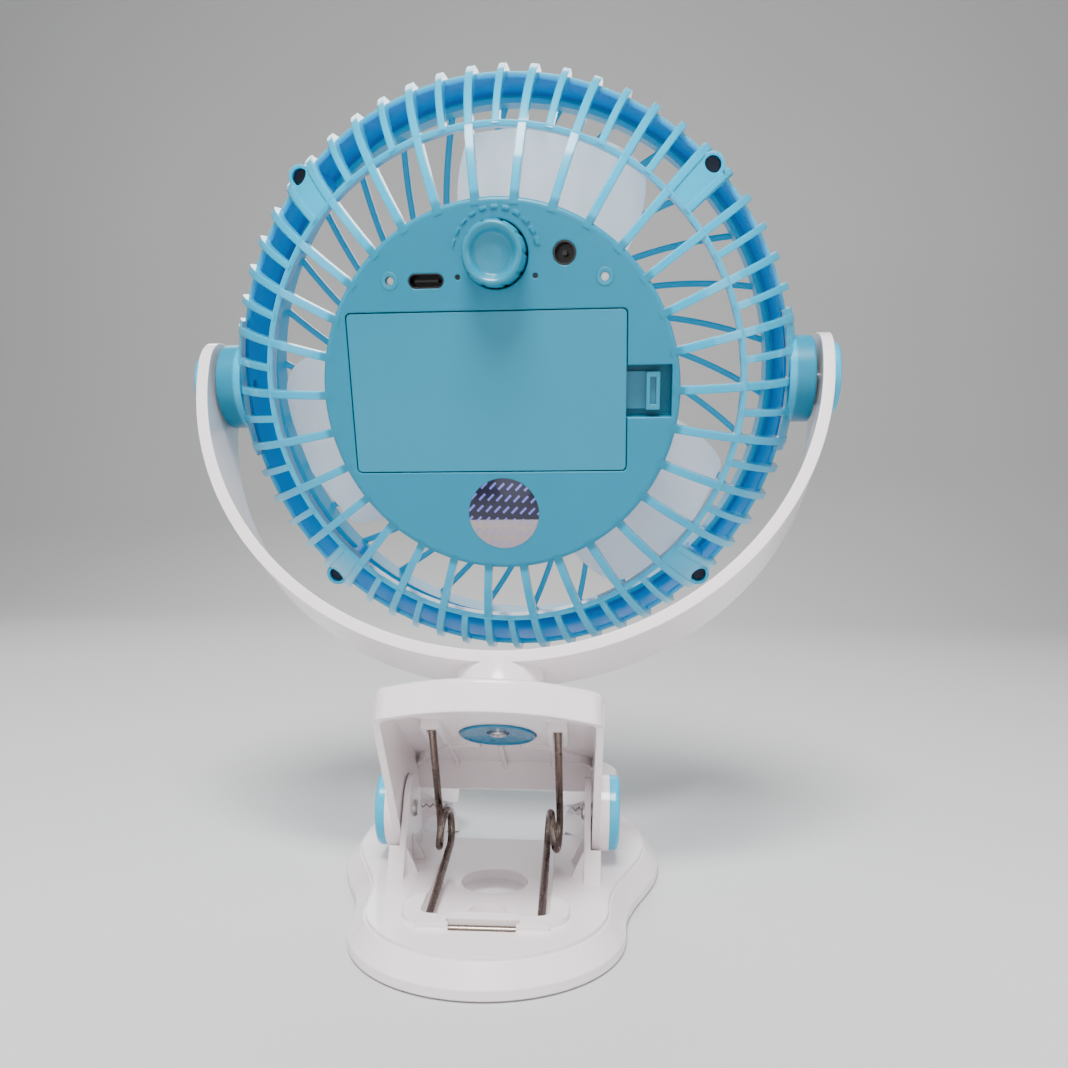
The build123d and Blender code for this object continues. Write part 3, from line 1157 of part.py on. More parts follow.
with BuildPart() as tilt_washer:
    with BuildSketch(Plane.YZ.offset(BOSS_X)):
        Circle(TILT_WASHER_R)
        Circle(TILT_SCREW_R + SEAT, mode=Mode.SUBTRACT)
    extrude(amount=TILT_WASHER_T)


# ---------------------------------------------------------------- placing and export
ROW_FRAME = Location((0, 0, 0))
PIECES = {
    "clip_base": (clip_base.part, ROW_FRAME),
    "clip_sole": (clip_sole.part, ROW_FRAME),
    "clip_spring": (clip_spring.part, ROW_FRAME),
    "clip_lever": (clip_lever.part, ROOF_FRAME),
    "hinge_pins": (hinge_pins.part, ROOF_FRAME),
    "hinge_caps": (both_sides(hinge_cap.part), ROOF_FRAME),
    "yoke": (yoke.part, YOKE_FRAME),
    "swivel_washer": (swivel_washer.part, YOKE_FRAME),
    "swivel_screw": (swivel_screw.part, YOKE_FRAME),
    "yoke_caps": (both_sides(yoke_cap.part), YOKE_FRAME),
    "rear_housing": (rear_housing.part, FAN_FRAME),
    "front_grille": (front_grille.part, FAN_FRAME),
    "grille_cap": (grille_cap.part, FAN_FRAME),
    "motor_plate": (motor_plate.part, FAN_FRAME),
    "motor_case": (motor_case.part, FAN_FRAME),
    "motor_shaft": (motor_shaft.part, FAN_FRAME),
    "fan_blade": (fan_blade.part, FAN_FRAME),
    "battery_cells": (battery_cells.part, FAN_FRAME),
    "battery_contacts": (battery_contacts.part, FAN_FRAME),
    "battery_door": (battery_door.part, FAN_FRAME),
    "control_board": (control_board.part, FAN_FRAME),
    "usb_socket": (usb_socket.part, FAN_FRAME),
    "dc_socket": (dc_socket.part, FAN_FRAME),
    "speed_control": (speed_control.part, FAN_FRAME),
    "speed_knob": (speed_knob.part, FAN_FRAME),
    "charge_leds": (charge_leds.part, FAN_FRAME),
    "housing_screws": (housing_screws.part, FAN_FRAME),
    "grille_screws": (grille_screws.part, FAN_FRAME),
    "tilt_screws": (both_sides(tilt_screw.part), FAN_FRAME),
    "tilt_washers": (both_sides(tilt_washer.part), FAN_FRAME),
}
for name, (shape, frame) in PIECES.items():
    placed = shape.moved(frame)
    placed.label = name
    export_step(placed, "parts/" + name + ".step")
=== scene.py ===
"""Clip fan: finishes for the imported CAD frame, and the pieces that are shaped here after the photo.

Everything is in metres in the frame of the CAD model: +Z up, +Y towards the squeeze handle.
Profiles and blocks are written in mm, and in_mm turns them into metres.
"""
import json
import math

import bmesh
import bpy
from mathutils import Matrix, Vector


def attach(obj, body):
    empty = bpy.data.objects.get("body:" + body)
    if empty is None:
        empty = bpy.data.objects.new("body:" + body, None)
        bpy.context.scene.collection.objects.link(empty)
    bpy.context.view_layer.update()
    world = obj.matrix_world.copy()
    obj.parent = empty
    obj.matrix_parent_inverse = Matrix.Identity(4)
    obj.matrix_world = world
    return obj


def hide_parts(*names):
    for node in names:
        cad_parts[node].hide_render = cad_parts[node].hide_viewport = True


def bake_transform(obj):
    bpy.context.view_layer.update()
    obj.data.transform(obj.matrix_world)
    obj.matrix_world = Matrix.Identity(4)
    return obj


bl_info = {
    "name": "Clip Fan",
    "version": (1, 0, 0),
    "blender": (4, 5, 0),
    "location": "View3D > Sidebar > Clip Fan",
    "description": "Finishes, spring, trim and stage of a rechargeable clip fan",
    "category": "Object",
}

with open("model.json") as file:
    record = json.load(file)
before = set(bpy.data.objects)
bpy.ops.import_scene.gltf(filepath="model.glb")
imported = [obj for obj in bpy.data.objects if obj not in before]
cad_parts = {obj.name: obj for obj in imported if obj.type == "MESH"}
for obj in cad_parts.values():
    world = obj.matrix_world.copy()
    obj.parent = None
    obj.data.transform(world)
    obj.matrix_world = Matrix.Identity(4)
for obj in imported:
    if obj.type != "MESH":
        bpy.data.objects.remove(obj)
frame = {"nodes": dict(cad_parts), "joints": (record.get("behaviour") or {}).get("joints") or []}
NODES = frame["nodes"]
JOINTS = {joint["name"]: joint for joint in frame["joints"]}
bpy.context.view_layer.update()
TURN = 2 * math.pi


def placing(first, second, third, centre):
    """The matrix of a frame with these three axes and this centre."""
    return Matrix.Translation(centre) @ Matrix((first, second, third)).transposed().to_4x4()


# the head's own frame: its centre, where the spin axis meets the tilt axis, and its directions
HEAD_CENTRE = Vector(JOINTS["head_tilt"]["pos_m"])
HEAD_REAR = Vector(JOINTS["blade_spin"]["axis"]).normalized()
HEAD_RIGHT = -Vector(JOINTS["head_tilt"]["axis"]).normalized()
HEAD_UP = HEAD_REAR.cross(HEAD_RIGHT)
HEAD_MATRIX = placing(HEAD_RIGHT, HEAD_UP, HEAD_REAR, HEAD_CENTRE)

# the swivel's frame, on the underside of the clip's roof
ROOF_CENTRE = Vector((0, 0.0072, 0.0488))
ROOF_RIGHT = Vector((1, 0, 0))
SWIVEL_UP = Vector(JOINTS["yoke_swivel"]["axis"]).normalized()
SWIVEL_UP = SWIVEL_UP if SWIVEL_UP.z > 0 else -SWIVEL_UP
SWIVEL_MATRIX = placing(ROOF_RIGHT, SWIVEL_UP.cross(ROOF_RIGHT), SWIVEL_UP, ROOF_CENTRE)

# the disc, in mm in the head's frame
DISC_Z = 39.3                       # its rear face
KNOB_UP, KNOB_H = 37.2, 9.0         # the knob's axis, and how far the knob stands out
FOIL_DOWN = 35.1                    # centre of the foil disc
SCREW_X, SCREW_Y = 30.3, 30.9       # the two screws beside the knob

# the front grille, in mm in the head's frame
GRILLE_FRONT, GRILLE_DOME, GRILLE_T = -25.0, 9.0, 2.4   # front at the rim, dome and thickness
RIM_REAR, FLANGE_REAR = -20.05, -14.0
RIM_IN, FLANGE_OUT, RIM_OUT = 83.0, 84.6, 88.0
RIB_IN, RIB_OUT, RIB_W = 21.0, 84.5, 2.0
RIB_SWIRL = 0.51                    # a rib's turn, in radians for each e-fold of its radius

# the roof over the clip, in mm in the swivel's frame
SWIVEL_LOW = 0.9                    # top of the washer, in its seat in the roof
WASHER_R, SEAT_R = 11.1, 12.75
ROOF_FACE = -0.02                   # where cuts stop, just under the roof's own face
BOSS_LOW, RIB_DROP = -3.4, 1.2      # below the CAD model's boss and ribs, and the ribs' new depth
RIBS_AREA = (24.4, -34.3, -4.5)     # areas here and below: half the width, front and rear
RIB_ENDS = (16.6, -38.5, -36.71)    # where the CAD model's ribs come through the front wall

# the foot, in mm from the origin
FOOT_TOP = 9.3                      # the plateau round the recess
RECESS_LOW, POCKET_LOW = FOOT_TOP - 2.0, FOOT_TOP - 5.0
POCKET_Y, POCKET_R = 15.5, 9.6
FILLED = (10.0, 11.0, 46.6)         # covers the CAD model's pockets before the new ones are cut
LIP = (17.2, 51.9, 53.6)            # stands over the channels of the spring's wire
WINDOW = (8.6, 50.0, 54.4)          # shows the spring's crossbar
TAB_TOP = (12.0, 44.0, 49.5)        # trims the tab before the crossbar
SLOT, SLOT_END = (5.0, 31.7, 56.0), 45.3    # the slot towards the handle, cut short at its end

# the spring, in metres
COIL_CENTRE = Vector((0.0164, 0.0032, 0.0187))
COIL_PITCH = 0.00275
SPRING_TOP = Vector((0.0176, 0.01846, 0.05315))
SPRING_CORNER = Vector((0.0146, 0.0513, 0.0083))
SPRING_BEND = 0.0036

# where the housing's blue changes, as spans in metres: a painted glow on the thin band, and a lighter
# blue painted on the ribs for the light they catch
GLOW_BAND_REAR = (0.0045, 0.0065)        # along the spin axis: the deep band lies in front
GLOW_BAND_OUT = (0.0866, 0.0874)         # out from the spin axis: the band's outer skin
LIT_RIBS_FROM = (0.0525, 0.0545)        # out from the spin axis: the ribs begin
BOSS_FROM = (0.0885, 0.0895)        # along the tilt axis: the tilt bosses begin

# colours of small and hidden pieces
BLACK = (0.0, 0.0, 0.0)
SOLE_RUBBER = (0.30, 0.30, 0.305)
SOCKET_BLACK = (0.012, 0.012, 0.014)
ZINC_STEEL = (0.62, 0.62, 0.63)
BRIGHT_STEEL = (0.75, 0.75, 0.76)
SCREW_SHADOW = (0.006, 0.006, 0.008)
# painted shade: near black for the grille's screws, for the shade deep in their holes
SHADED_SCREW = (0.03, 0.035, 0.05)
CELL_WRAP = (0.05, 0.14, 0.33)
BOARD_GREEN = (0.01, 0.09, 0.04)
FOIL_DARK, FOIL_DARK_DASH = (0.012, 0.012, 0.035), (0.16, 0.17, 0.62)
FOIL_PALE, FOIL_PALE_DASH = (0.38, 0.32, 0.32), (0.26, 0.25, 0.55)

# the stage, in metres
FLOOR_HALF, FLOOR_NEAR, SWEEP_FROM, SWEEP_R, WALL_TOP = 2.5, 1.5, -0.7, 0.5, 2.5
PAPER_DARK, PAPER_PALE = (0.60, 0.60, 0.60), (0.62, 0.62, 0.62)
SKY_COLOUR, SKY_STRENGTH = (0.9, 0.93, 1.0, 1), 0.11
LIGHT_TARGET = Vector((0, 0, 0.12))
SOFTBOXES = (                       # name, place, size and share of the light's power
    ("key", (0.03, 0.42, 0.95), 0.45, 1.45),
    ("fill_left", (0.75, 0.35, 0.35), 0.6, 0.16),
    ("fill_right", (-0.75, 0.25, 0.3), 0.5, 0.16),
    ("front", (-0.05, 0.95, 0.30), 0.7, 0.2),
    ("behind", (0.1, -0.7, 0.6), 0.6, 0.3),
)


# ---------------------------------------------------------------- properties
class ClipFanColours(bpy.types.PropertyGroup):
    """Colours of the fan's pieces."""

    shell: bpy.props.FloatVectorProperty(
        name="Shell", description="Sky blue of the cage, door and knob",
        subtype="COLOR", size=3, min=0, max=1, default=(0.004, 0.235, 0.37),
    )
    # painted glow: this deep blue colours the thin band and also lights it by emission, standing in
    # for light that comes through the thin plastic and bounces inside it
    band_glow: bpy.props.FloatVectorProperty(
        name="Shell, deep", description="Blue of the cage's thin band, where light comes through",
        subtype="COLOR", size=3, min=0, max=1, default=(0.0, 0.25, 0.62),
    )
    # painted light: the ribs' paler blue stands in for the light that falls on their tops; the caps
    # and the grille's painted glow take it too
    ribs: bpy.props.FloatVectorProperty(
        name="Ribs", description="Paler blue of the cage's ribs",
        subtype="COLOR", size=3, min=0, max=1, default=(0.0, 0.42, 0.66),
    )
    # painted light: the grille is the shell's plastic, painted a paler blue for the light on it
    grille: bpy.props.FloatVectorProperty(
        name="Grille", description="Blue of the front grille",
        subtype="COLOR", size=3, min=0, max=1, default=(0.0, 0.38, 0.62),
    )
    # painted shade: the washer's blue is painted darker for the shade it sits in under the clip's
    # roof
    dish: bpy.props.FloatVectorProperty(
        name="Dish", description="Darker blue of the swivel's washer",
        subtype="COLOR", size=3, min=0, max=1, default=(0.0, 0.19, 0.36),
    )
    white: bpy.props.FloatVectorProperty(
        name="White", description="White of the clip and the yoke",
        subtype="COLOR", size=3, min=0, max=1, default=(0.92, 0.835, 0.85),
    )
    # also the colour of the blades' painted glow
    blades: bpy.props.FloatVectorProperty(
        name="Blades", description="Milky white of the fan blades",
        subtype="COLOR", size=3, min=0, max=1, default=(0.82, 0.88, 0.93),
    )
    spring: bpy.props.FloatVectorProperty(
        name="Spring", description="Brownish steel of the clip spring",
        subtype="COLOR", size=3, min=0, max=1, default=(0.24, 0.20, 0.17),
    )


class ClipFanSizes(bpy.types.PropertyGroup):
    """Sizes of the pieces that are made here."""

    wire: bpy.props.FloatProperty(
        name="Spring wire", description="Radius of the clip spring's wire",
        unit="LENGTH", default=0.0011, min=0.0005, max=0.0013,
    )
    coil: bpy.props.FloatProperty(
        name="Spring coil", description="Radius of the spring's coils, to the middle of the wire",
        unit="LENGTH", default=0.00545, min=0.004, max=0.006,
    )
    ribs: bpy.props.IntProperty(
        name="Swirl ribs", description="Number of curved ribs in the front grille",
        default=30, min=12, max=48,
    )
    grips: bpy.props.IntProperty(
        name="Grips", description="Number of notches round the speed knob",
        default=10, min=4, max=24,
    )
    foil: bpy.props.FloatProperty(
        name="Foil", description="Radius of the bare foil disc on the housing",
        unit="LENGTH", default=0.0106, min=0.006, max=0.013,
    )


class ClipFanStage(bpy.types.PropertyGroup):
    """Camera and light."""

    camera_place: bpy.props.FloatVectorProperty(
        name="Camera", description="Place of the camera",
        subtype="TRANSLATION", unit="LENGTH", size=3, default=(-0.022995, 0.288645, 0.114255),
    )
    camera_heading: bpy.props.FloatProperty(
        name="Heading", description="Turn of the camera about the vertical, from looking along -Y",
        subtype="ANGLE", unit="ROTATION", default=0.038,
    )
    camera_pitch: bpy.props.FloatProperty(
        name="Pitch", description="Tilt of the camera, downwards below zero",
        subtype="ANGLE", unit="ROTATION", default=-0.163,
    )
    camera_roll: bpy.props.FloatProperty(
        name="Roll", description="Roll of the camera about its own view",
        subtype="ANGLE", unit="ROTATION", default=-0.013,
    )
    lens: bpy.props.FloatProperty(
        name="Lens", description="Focal length on a 36 mm wide picture",
        default=33.578, min=10, max=200,
    )
    shift: bpy.props.FloatVectorProperty(
        name="Shift", description="Shift of the picture, as shares of its width",
        size=2, default=(-0.00665, 0.1274),
    )
    light_power: bpy.props.FloatProperty(
        name="Light", description="Power of which each softbox takes its share",
        unit="POWER", default=13.0, min=0,
    )


# ---------------------------------------------------------------- material helpers
MIX_COLOURS, MIX_RESULT = (6, 7), 2     # a Mix node's sockets for colours, which share their names


class Finish:
    """A node material under construction."""

    def __init__(self, name):
        self.material = bpy.data.materials.new(name)
        self.material.use_nodes = True
        self.nodes = self.material.node_tree.nodes
        self.links = self.material.node_tree.links
        self.shader = self.nodes["Principled BSDF"]

    def feed(self, socket, value):
        """Link the socket to an output, or set it to a plain value."""
        if isinstance(value, bpy.types.NodeSocket):
            self.links.new(value, socket)
        else:
            socket.default_value = value

    def set(self, **values):
        """Feed the shader's inputs, named with _ for their spaces."""
        for name, value in values.items():
            self.feed(self.shader.inputs[name.replace("_", " ")], value)
        return self

    def base(self):
        """The output that colours the surface so far."""
        return self.shader.inputs["Base Color"].links[0].from_socket

    def node(self, kind, fed=(), **values):
        """A new node with its properties set and the named inputs fed."""
        made = self.nodes.new(kind)
        for name, value in values.items():
            setattr(made, name, value)
        for name, value in fed:
            self.feed(made.inputs[name], value)
        return made

    def maths(self, operation, *values):
        """What a Math node makes of the values."""
        made = self.node("ShaderNodeMath", operation=operation)
        for socket, value in zip(made.inputs, values):
            self.feed(socket, value)
        return made.outputs[0]

    def vector(self, operation, *values):
        """What a Vector Math node makes of the values."""
        made = self.node("ShaderNodeVectorMath", operation=operation)
        for socket, value in zip(made.inputs, values):
            self.feed(socket, value)
        return made.outputs["Value" if operation in {"DOT_PRODUCT", "LENGTH"} else "Vector"]

    def place(self):
        """The point's coordinates in the object, which are the CAD model's."""
        return self.node("ShaderNodeTexCoord").outputs["Object"]

    def axis_place(self, centre, direction):
        """Distances from the centre: along the direction, and out from it."""
        offset = self.vector("SUBTRACT", self.place(), centre)
        along = self.vector("DOT_PRODUCT", offset, direction)
        axis = self.node("ShaderNodeCombineXYZ", zip("XYZ", direction))
        scaled = self.node("ShaderNodeVectorMath", [("Scale", along)], operation="SCALE")
        self.feed(scaled.inputs[0], axis.outputs[0])
        out = self.vector("LENGTH", self.vector("SUBTRACT", offset, scaled.outputs["Vector"]))
        return along, out

    def noise(self, scale, detail):
        """Noise from 0 to 1."""
        made = self.node(
            "ShaderNodeTexNoise",
            (("Scale", scale), ("Detail", detail), ("Roughness", 0.55), ("Vector", self.place())),
        )
        return made.outputs["Fac"]

    def ramp(self, value, *stops):
        """A colour that runs between two stops, each a position and a colour."""
        made = self.node("ShaderNodeValToRGB", [("Fac", value)])
        for element, (position, colour) in zip(made.color_ramp.elements, stops):
            element.position = position
            element.color = (*colour, 1)
        return made.outputs["Color"]

    def beyond(self, value, span):
        """0 before the span, 1 past it, and smooth between them."""
        made = self.node(
            "ShaderNodeMapRange",
            (("From Min", span[0]), ("From Max", span[1]), ("Value", value)),
            interpolation_type="SMOOTHSTEP",
        )
        return made.outputs["Result"]

    def within(self, value, span):
        """1 before the span and 0 past it."""
        return self.maths("SUBTRACT", 1.0, self.beyond(value, span))

    def mix(self, share, first, second):
        """The first colour where the share is 0, the second where it is 1."""
        made = self.node("ShaderNodeMix", [("Factor", share)], data_type="RGBA")
        for index, colour in zip(MIX_COLOURS, (first, second)):
            linked = isinstance(colour, bpy.types.NodeSocket)
            self.feed(made.inputs[index], colour if linked else (*colour, 1))
        return made.outputs[MIX_RESULT]

    def drift(self, colour, shade, scale, reach):
        """A base colour that wanders down to a darker shade of it."""
        dark = tuple(channel * shade for channel in colour)
        stops = (0.5 - reach, dark), (0.5 + reach, colour)
        return self.set(Base_Color=self.ramp(self.noise(scale, 2), *stops))

    def rough(self, middle, spread, scale, detail):
        """A roughness that wanders by the spread."""
        noise = self.noise(scale, detail)
        return self.set(Roughness=self.maths("MULTIPLY_ADD", noise, spread, middle - spread / 2))

    def surface(self, edge, grain=0.0):
        """Rounded edges, and a fine grain where it has a strength."""
        bevel = self.node("ShaderNodeBevel", [("Radius", edge)], samples=6)
        normal = bevel.outputs["Normal"]
        if grain:
            height = self.noise(1400, 2)
            bump = self.node(
                "ShaderNodeBump",
                (("Strength", grain), ("Distance", 0.0002), ("Height", height), ("Normal", normal)),
            )
            normal = bump.outputs["Normal"]
        return self.set(Normal=normal)


def moulded(name, colour, roughness, edge, grain=0.05, coat=0.3):
    """Injection-moulded plastic: slight colour drift, a fine grain and a soft clear gloss."""
    finish = Finish(name)
    finish.drift(colour, 0.965, 18, 0.2)
    finish.rough(roughness, 0.12, 90, 4)
    finish.set(Coat_Weight=coat, Coat_Roughness=0.08, IOR=1.46, Specular_IOR_Level=0.35)
    return finish.surface(edge, grain)


def metal(name, colour, roughness):
    """Bare metal with fine darker streaks."""
    finish = Finish(name)
    finish.drift(colour, 0.85, 120, 0.15)
    finish.rough(roughness, 0.08, 300, 2)
    finish.set(Metallic=1.0)
    return finish.surface(0.0002)


def shell_finish(colours):
    """Blue plastic: a painted glow in the thin band round the blades, deeper blue with emission, and
    a lighter blue painted on the ribs for the light they catch, which are glossier too.
    """
    finish = moulded("shell_blue_painted_light", colours.shell, 0.34, 0.0007, coat=0.05)
    along, out = finish.axis_place(HEAD_CENTRE, HEAD_REAR)
    offset = finish.vector("SUBTRACT", finish.place(), HEAD_CENTRE)
    aside = finish.maths("ABSOLUTE", finish.vector("DOT_PRODUCT", offset, HEAD_RIGHT))
    # painted glow on the thin band: a deeper blue with emission
    band = finish.maths("MULTIPLY", finish.within(along, GLOW_BAND_REAR), finish.within(out, GLOW_BAND_OUT))
    # painted light on the ribs: a paler blue where light falls on them
    ribs = finish.maths("MULTIPLY", finish.beyond(out, LIT_RIBS_FROM), finish.within(aside, BOSS_FROM))
    pale = finish.mix(ribs, finish.base(), colours.ribs)
    gloss = finish.maths("MULTIPLY", ribs, finish.maths("SUBTRACT", 1.0, band))
    return finish.set(
        Base_Color=finish.mix(band, pale, colours.band_glow),
        Coat_Weight=finish.maths("MULTIPLY", gloss, 0.6),
        Specular_IOR_Level=finish.maths("MULTIPLY_ADD", band, -0.33, 0.35),
        Emission_Color=finish.mix(band, BLACK, colours.band_glow), Emission_Strength=0.2,
        Subsurface_Weight=0.4, Subsurface_Scale=0.003, Subsurface_Radius=(0.2, 0.8, 1.0),
    )


def foil_finish(centre, radius):
    """Foil in two fields, dark above and silver below, both with short slanting dashes."""
    row_pitch, dash_pitch, row_shift = radius * 0.26, radius * 0.62, 0.37
    dash_width, dash_length = 0.34, 0.55
    finish = Finish("foil")
    offset = finish.vector("SUBTRACT", finish.place(), centre)
    right = finish.vector("DOT_PRODUCT", offset, HEAD_RIGHT)
    up = finish.vector("DOT_PRODUCT", offset, HEAD_UP)
    row = finish.maths("DIVIDE", finish.maths("SUBTRACT", up, right), row_pitch)
    place = finish.maths("DIVIDE", finish.maths("ADD", up, right), dash_pitch)
    stagger = finish.maths("MULTIPLY", finish.maths("FLOOR", row), row_shift)
    across = finish.maths("FRACT", row)
    along = finish.maths("FRACT", finish.maths("ADD", place, stagger))
    dash = finish.maths(
        "MULTIPLY",
        finish.maths("LESS_THAN", across, dash_width),
        finish.maths("LESS_THAN", along, dash_length),
    )
    dark = finish.mix(dash, FOIL_DARK, FOIL_DARK_DASH)
    pale = finish.mix(finish.maths("MULTIPLY", dash, 0.7), FOIL_PALE, FOIL_PALE_DASH)
    field = finish.beyond(up, (-0.20 * radius, -0.16 * radius))
    return finish.set(
        Base_Color=finish.mix(field, pale, dark), Metallic=0.35, Roughness=0.32, Coat_Weight=0.4
    )


def screw_finish(centre, direction, reach):
    """Steel out to the reach, and painted shade round it for the dark recess about the head."""
    finish = metal("recessed_screw", BRIGHT_STEEL, 0.25)
    _, out = finish.axis_place(centre, direction)
    ring = finish.beyond(out, (reach, reach + 0.0002))
    return finish.set(Base_Color=finish.mix(ring, finish.base(), SCREW_SHADOW))


def paint(finish, *names):
    """Give the finish to CAD nodes."""
    for name in names:
        materials = NODES[name].data.materials
        materials.clear()
        materials.append(finish.material)


# ---------------------------------------------------------------- mesh helpers
SHARP_ANGLE = math.radians(35)          # made pieces are shaded smooth across smaller angles
CARVED_ANGLE = math.radians(30)         # and so are carved copies of CAD nodes


def in_mm(*values):
    """A point given in mm, in metres."""
    return Vector(values) / 1000


def solid(name, points, faces, finish, body):
    """A closed mesh with its faces turned outwards, riding on a body unless it is only a tool."""
    mesh = bpy.data.meshes.new(name)
    mesh.from_pydata(points, [], faces)
    shell = bmesh.new()
    shell.from_mesh(mesh)
    bmesh.ops.recalc_face_normals(shell, faces=shell.faces)
    shell.to_mesh(mesh)
    shell.free()
    mesh.shade_smooth()
    mesh.set_sharp_from_angle(angle=SHARP_ANGLE)
    mesh.materials.append(finish.material)
    made = bpy.data.objects.new(name, mesh)
    bpy.context.scene.collection.objects.link(made)
    if body:
        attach(made, body)
    return made


def fused_copy(node, name, finish):
    """A copy of a CAD node with its faces joined at their shared edges."""
    shell = bmesh.new()
    shell.from_mesh(NODES[node].data)
    bmesh.ops.remove_doubles(shell, verts=shell.verts, dist=1e-6)
    mesh = bpy.data.meshes.new(name)
    shell.to_mesh(mesh)
    shell.free()
    # the CAD model's own shading doesn't fit the faces that carve leaves
    for label in ("custom_normal", "sharp_edge", "sharp_face"):
        if label in mesh.attributes:
            mesh.attributes.remove(mesh.attributes[label])
    mesh.materials.clear()
    mesh.materials.append(finish.material)
    made = bpy.data.objects.new(name, mesh)
    bpy.context.scene.collection.objects.link(made)
    return made


def turned(name, profile, matrix, finish, body, steps=96, relief=None, ring=False):
    """A piece turned round the matrix's Z axis from (radius, height) points in mm.

    The relief, where there is one, moves a point by its angle.
    """
    points, count = [], len(profile)
    for step in range(steps):
        angle = TURN * step / steps
        for radius, height in profile:
            if relief:
                radius, height = relief(radius, height, angle)
            x, y = radius * math.cos(angle), radius * math.sin(angle)
            points.append(matrix @ in_mm(x, y, height))
    faces = []
    for step in range(steps):
        near, far = step * count, (step + 1) % steps * count
        for low in range(count if ring else count - 1):
            high = (low + 1) % count
            faces.append((near + low, near + high, far + high, far + low))
    if not ring:
        faces.append(tuple(step * count for step in range(steps)))
        faces.append(tuple((step + 1) * count - 1 for step in range(steps)))
    return solid(name, points, faces, finish, body)


def block(finish, area, heights, corner=0.0, end=math.inf, matrix=Matrix()):
    """A block with round upright edges, in mm in the matrix's frame, cut short at the end if given.

    The area is half its width, its front and its rear.
    """
    points, steps = [], 8
    half, front, rear = area
    for middle_x, middle_y, first in (
        (half - corner, rear - corner, 0), (corner - half, rear - corner, 90),
        (corner - half, front + corner, 180), (half - corner, front + corner, 270),
    ):
        for step in range(steps + 1 if corner else 1):
            angle = math.radians(first + 90 * step / steps)
            x, y = middle_x + corner * math.cos(angle), middle_y + corner * math.sin(angle)
            points.append((x, min(y, end)))
    points = [point for k, point in enumerate(points) if point != points[k - 1]]
    count = len(points)
    corners = [matrix @ in_mm(x, y, height) for height in heights for x, y in points]
    faces = [tuple(range(count)), tuple(range(count, 2 * count))]
    faces += [(k, (k + 1) % count, (k + 1) % count + count, k + count) for k in range(count)]
    return solid("block", corners, faces, finish, None)


def evaluated(made):
    """Turn what the object's modifier makes into its plain mesh."""
    graph = bpy.context.evaluated_depsgraph_get()
    mesh = bpy.data.meshes.new_from_object(made.evaluated_get(graph))
    made.modifiers.clear()
    made.data = mesh


def carve(made, operation, tool):
    """Join the tool to the object, or cut it out, and remove the tool."""
    modifier = made.modifiers.new("carve", "BOOLEAN")
    modifier.operation = operation
    modifier.solver = "EXACT"
    modifier.object = tool
    evaluated(made)
    bpy.data.objects.remove(tool)


def carved(made, body, node):
    """Shade the carved copy, and let it stand for the node on its body."""
    made.data.shade_smooth()
    made.data.set_sharp_from_angle(angle=CARVED_ANGLE)
    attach(made, body)
    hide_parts(node)


def arc(start, end, bulge):
    """Points from start to end along a parabola whose middle is moved out by the bulge."""
    points, steps = [], 12
    for step in range(steps + 1):
        share = step / steps
        swell = 4 * share * (1 - share)
        points.append(
            tuple(a + (b - a) * share + swell * c for a, b, c in zip(start, end, bulge))
        )
    return points


def node_group(name, *inputs):
    """A group that takes a mesh, the named inputs and a material, and the sockets of these."""
    group = bpy.data.node_groups.new(name, "GeometryNodeTree")
    for label, kind in (("Geometry", "Geometry"), *inputs, ("Material", "Material")):
        group.interface.new_socket(label, in_out="INPUT", socket_type="NodeSocket" + kind)
    group.interface.new_socket("Geometry", in_out="OUTPUT", socket_type="NodeSocketGeometry")
    return group, group.nodes.new("NodeGroupInput").outputs


def ending(group, made, material):
    """Realize the instances, give them the material and lead them out."""
    realize = group.nodes.new("GeometryNodeRealizeInstances")
    coat = group.nodes.new("GeometryNodeSetMaterial")
    group.links.new(made, realize.inputs[0])
    group.links.new(realize.outputs[0], coat.inputs["Geometry"])
    group.links.new(material, coat.inputs["Material"])
    group.links.new(coat.outputs[0], group.nodes.new("NodeGroupOutput").inputs[0])
    return group


def wire_group():
    """A round wire along the mesh's edges."""
    group, given = node_group("round_wire", ("Radius", "Float"), ("Sides", "Int"))
    path = group.nodes.new("GeometryNodeMeshToCurve")
    circle = group.nodes.new("GeometryNodeCurvePrimitiveCircle")
    sweep = group.nodes.new("GeometryNodeCurveToMesh")
    sweep.inputs["Fill Caps"].default_value = True
    smooth = group.nodes.new("GeometryNodeSetShadeSmooth")
    group.links.new(given["Geometry"], path.inputs["Mesh"])
    group.links.new(given["Radius"], circle.inputs["Radius"])
    group.links.new(given["Sides"], circle.inputs["Resolution"])
    group.links.new(path.outputs[0], sweep.inputs["Curve"])
    group.links.new(circle.outputs[0], sweep.inputs["Profile Curve"])
    group.links.new(sweep.outputs[0], smooth.inputs["Geometry"])
    return ending(group, smooth.outputs[0], given["Material"])


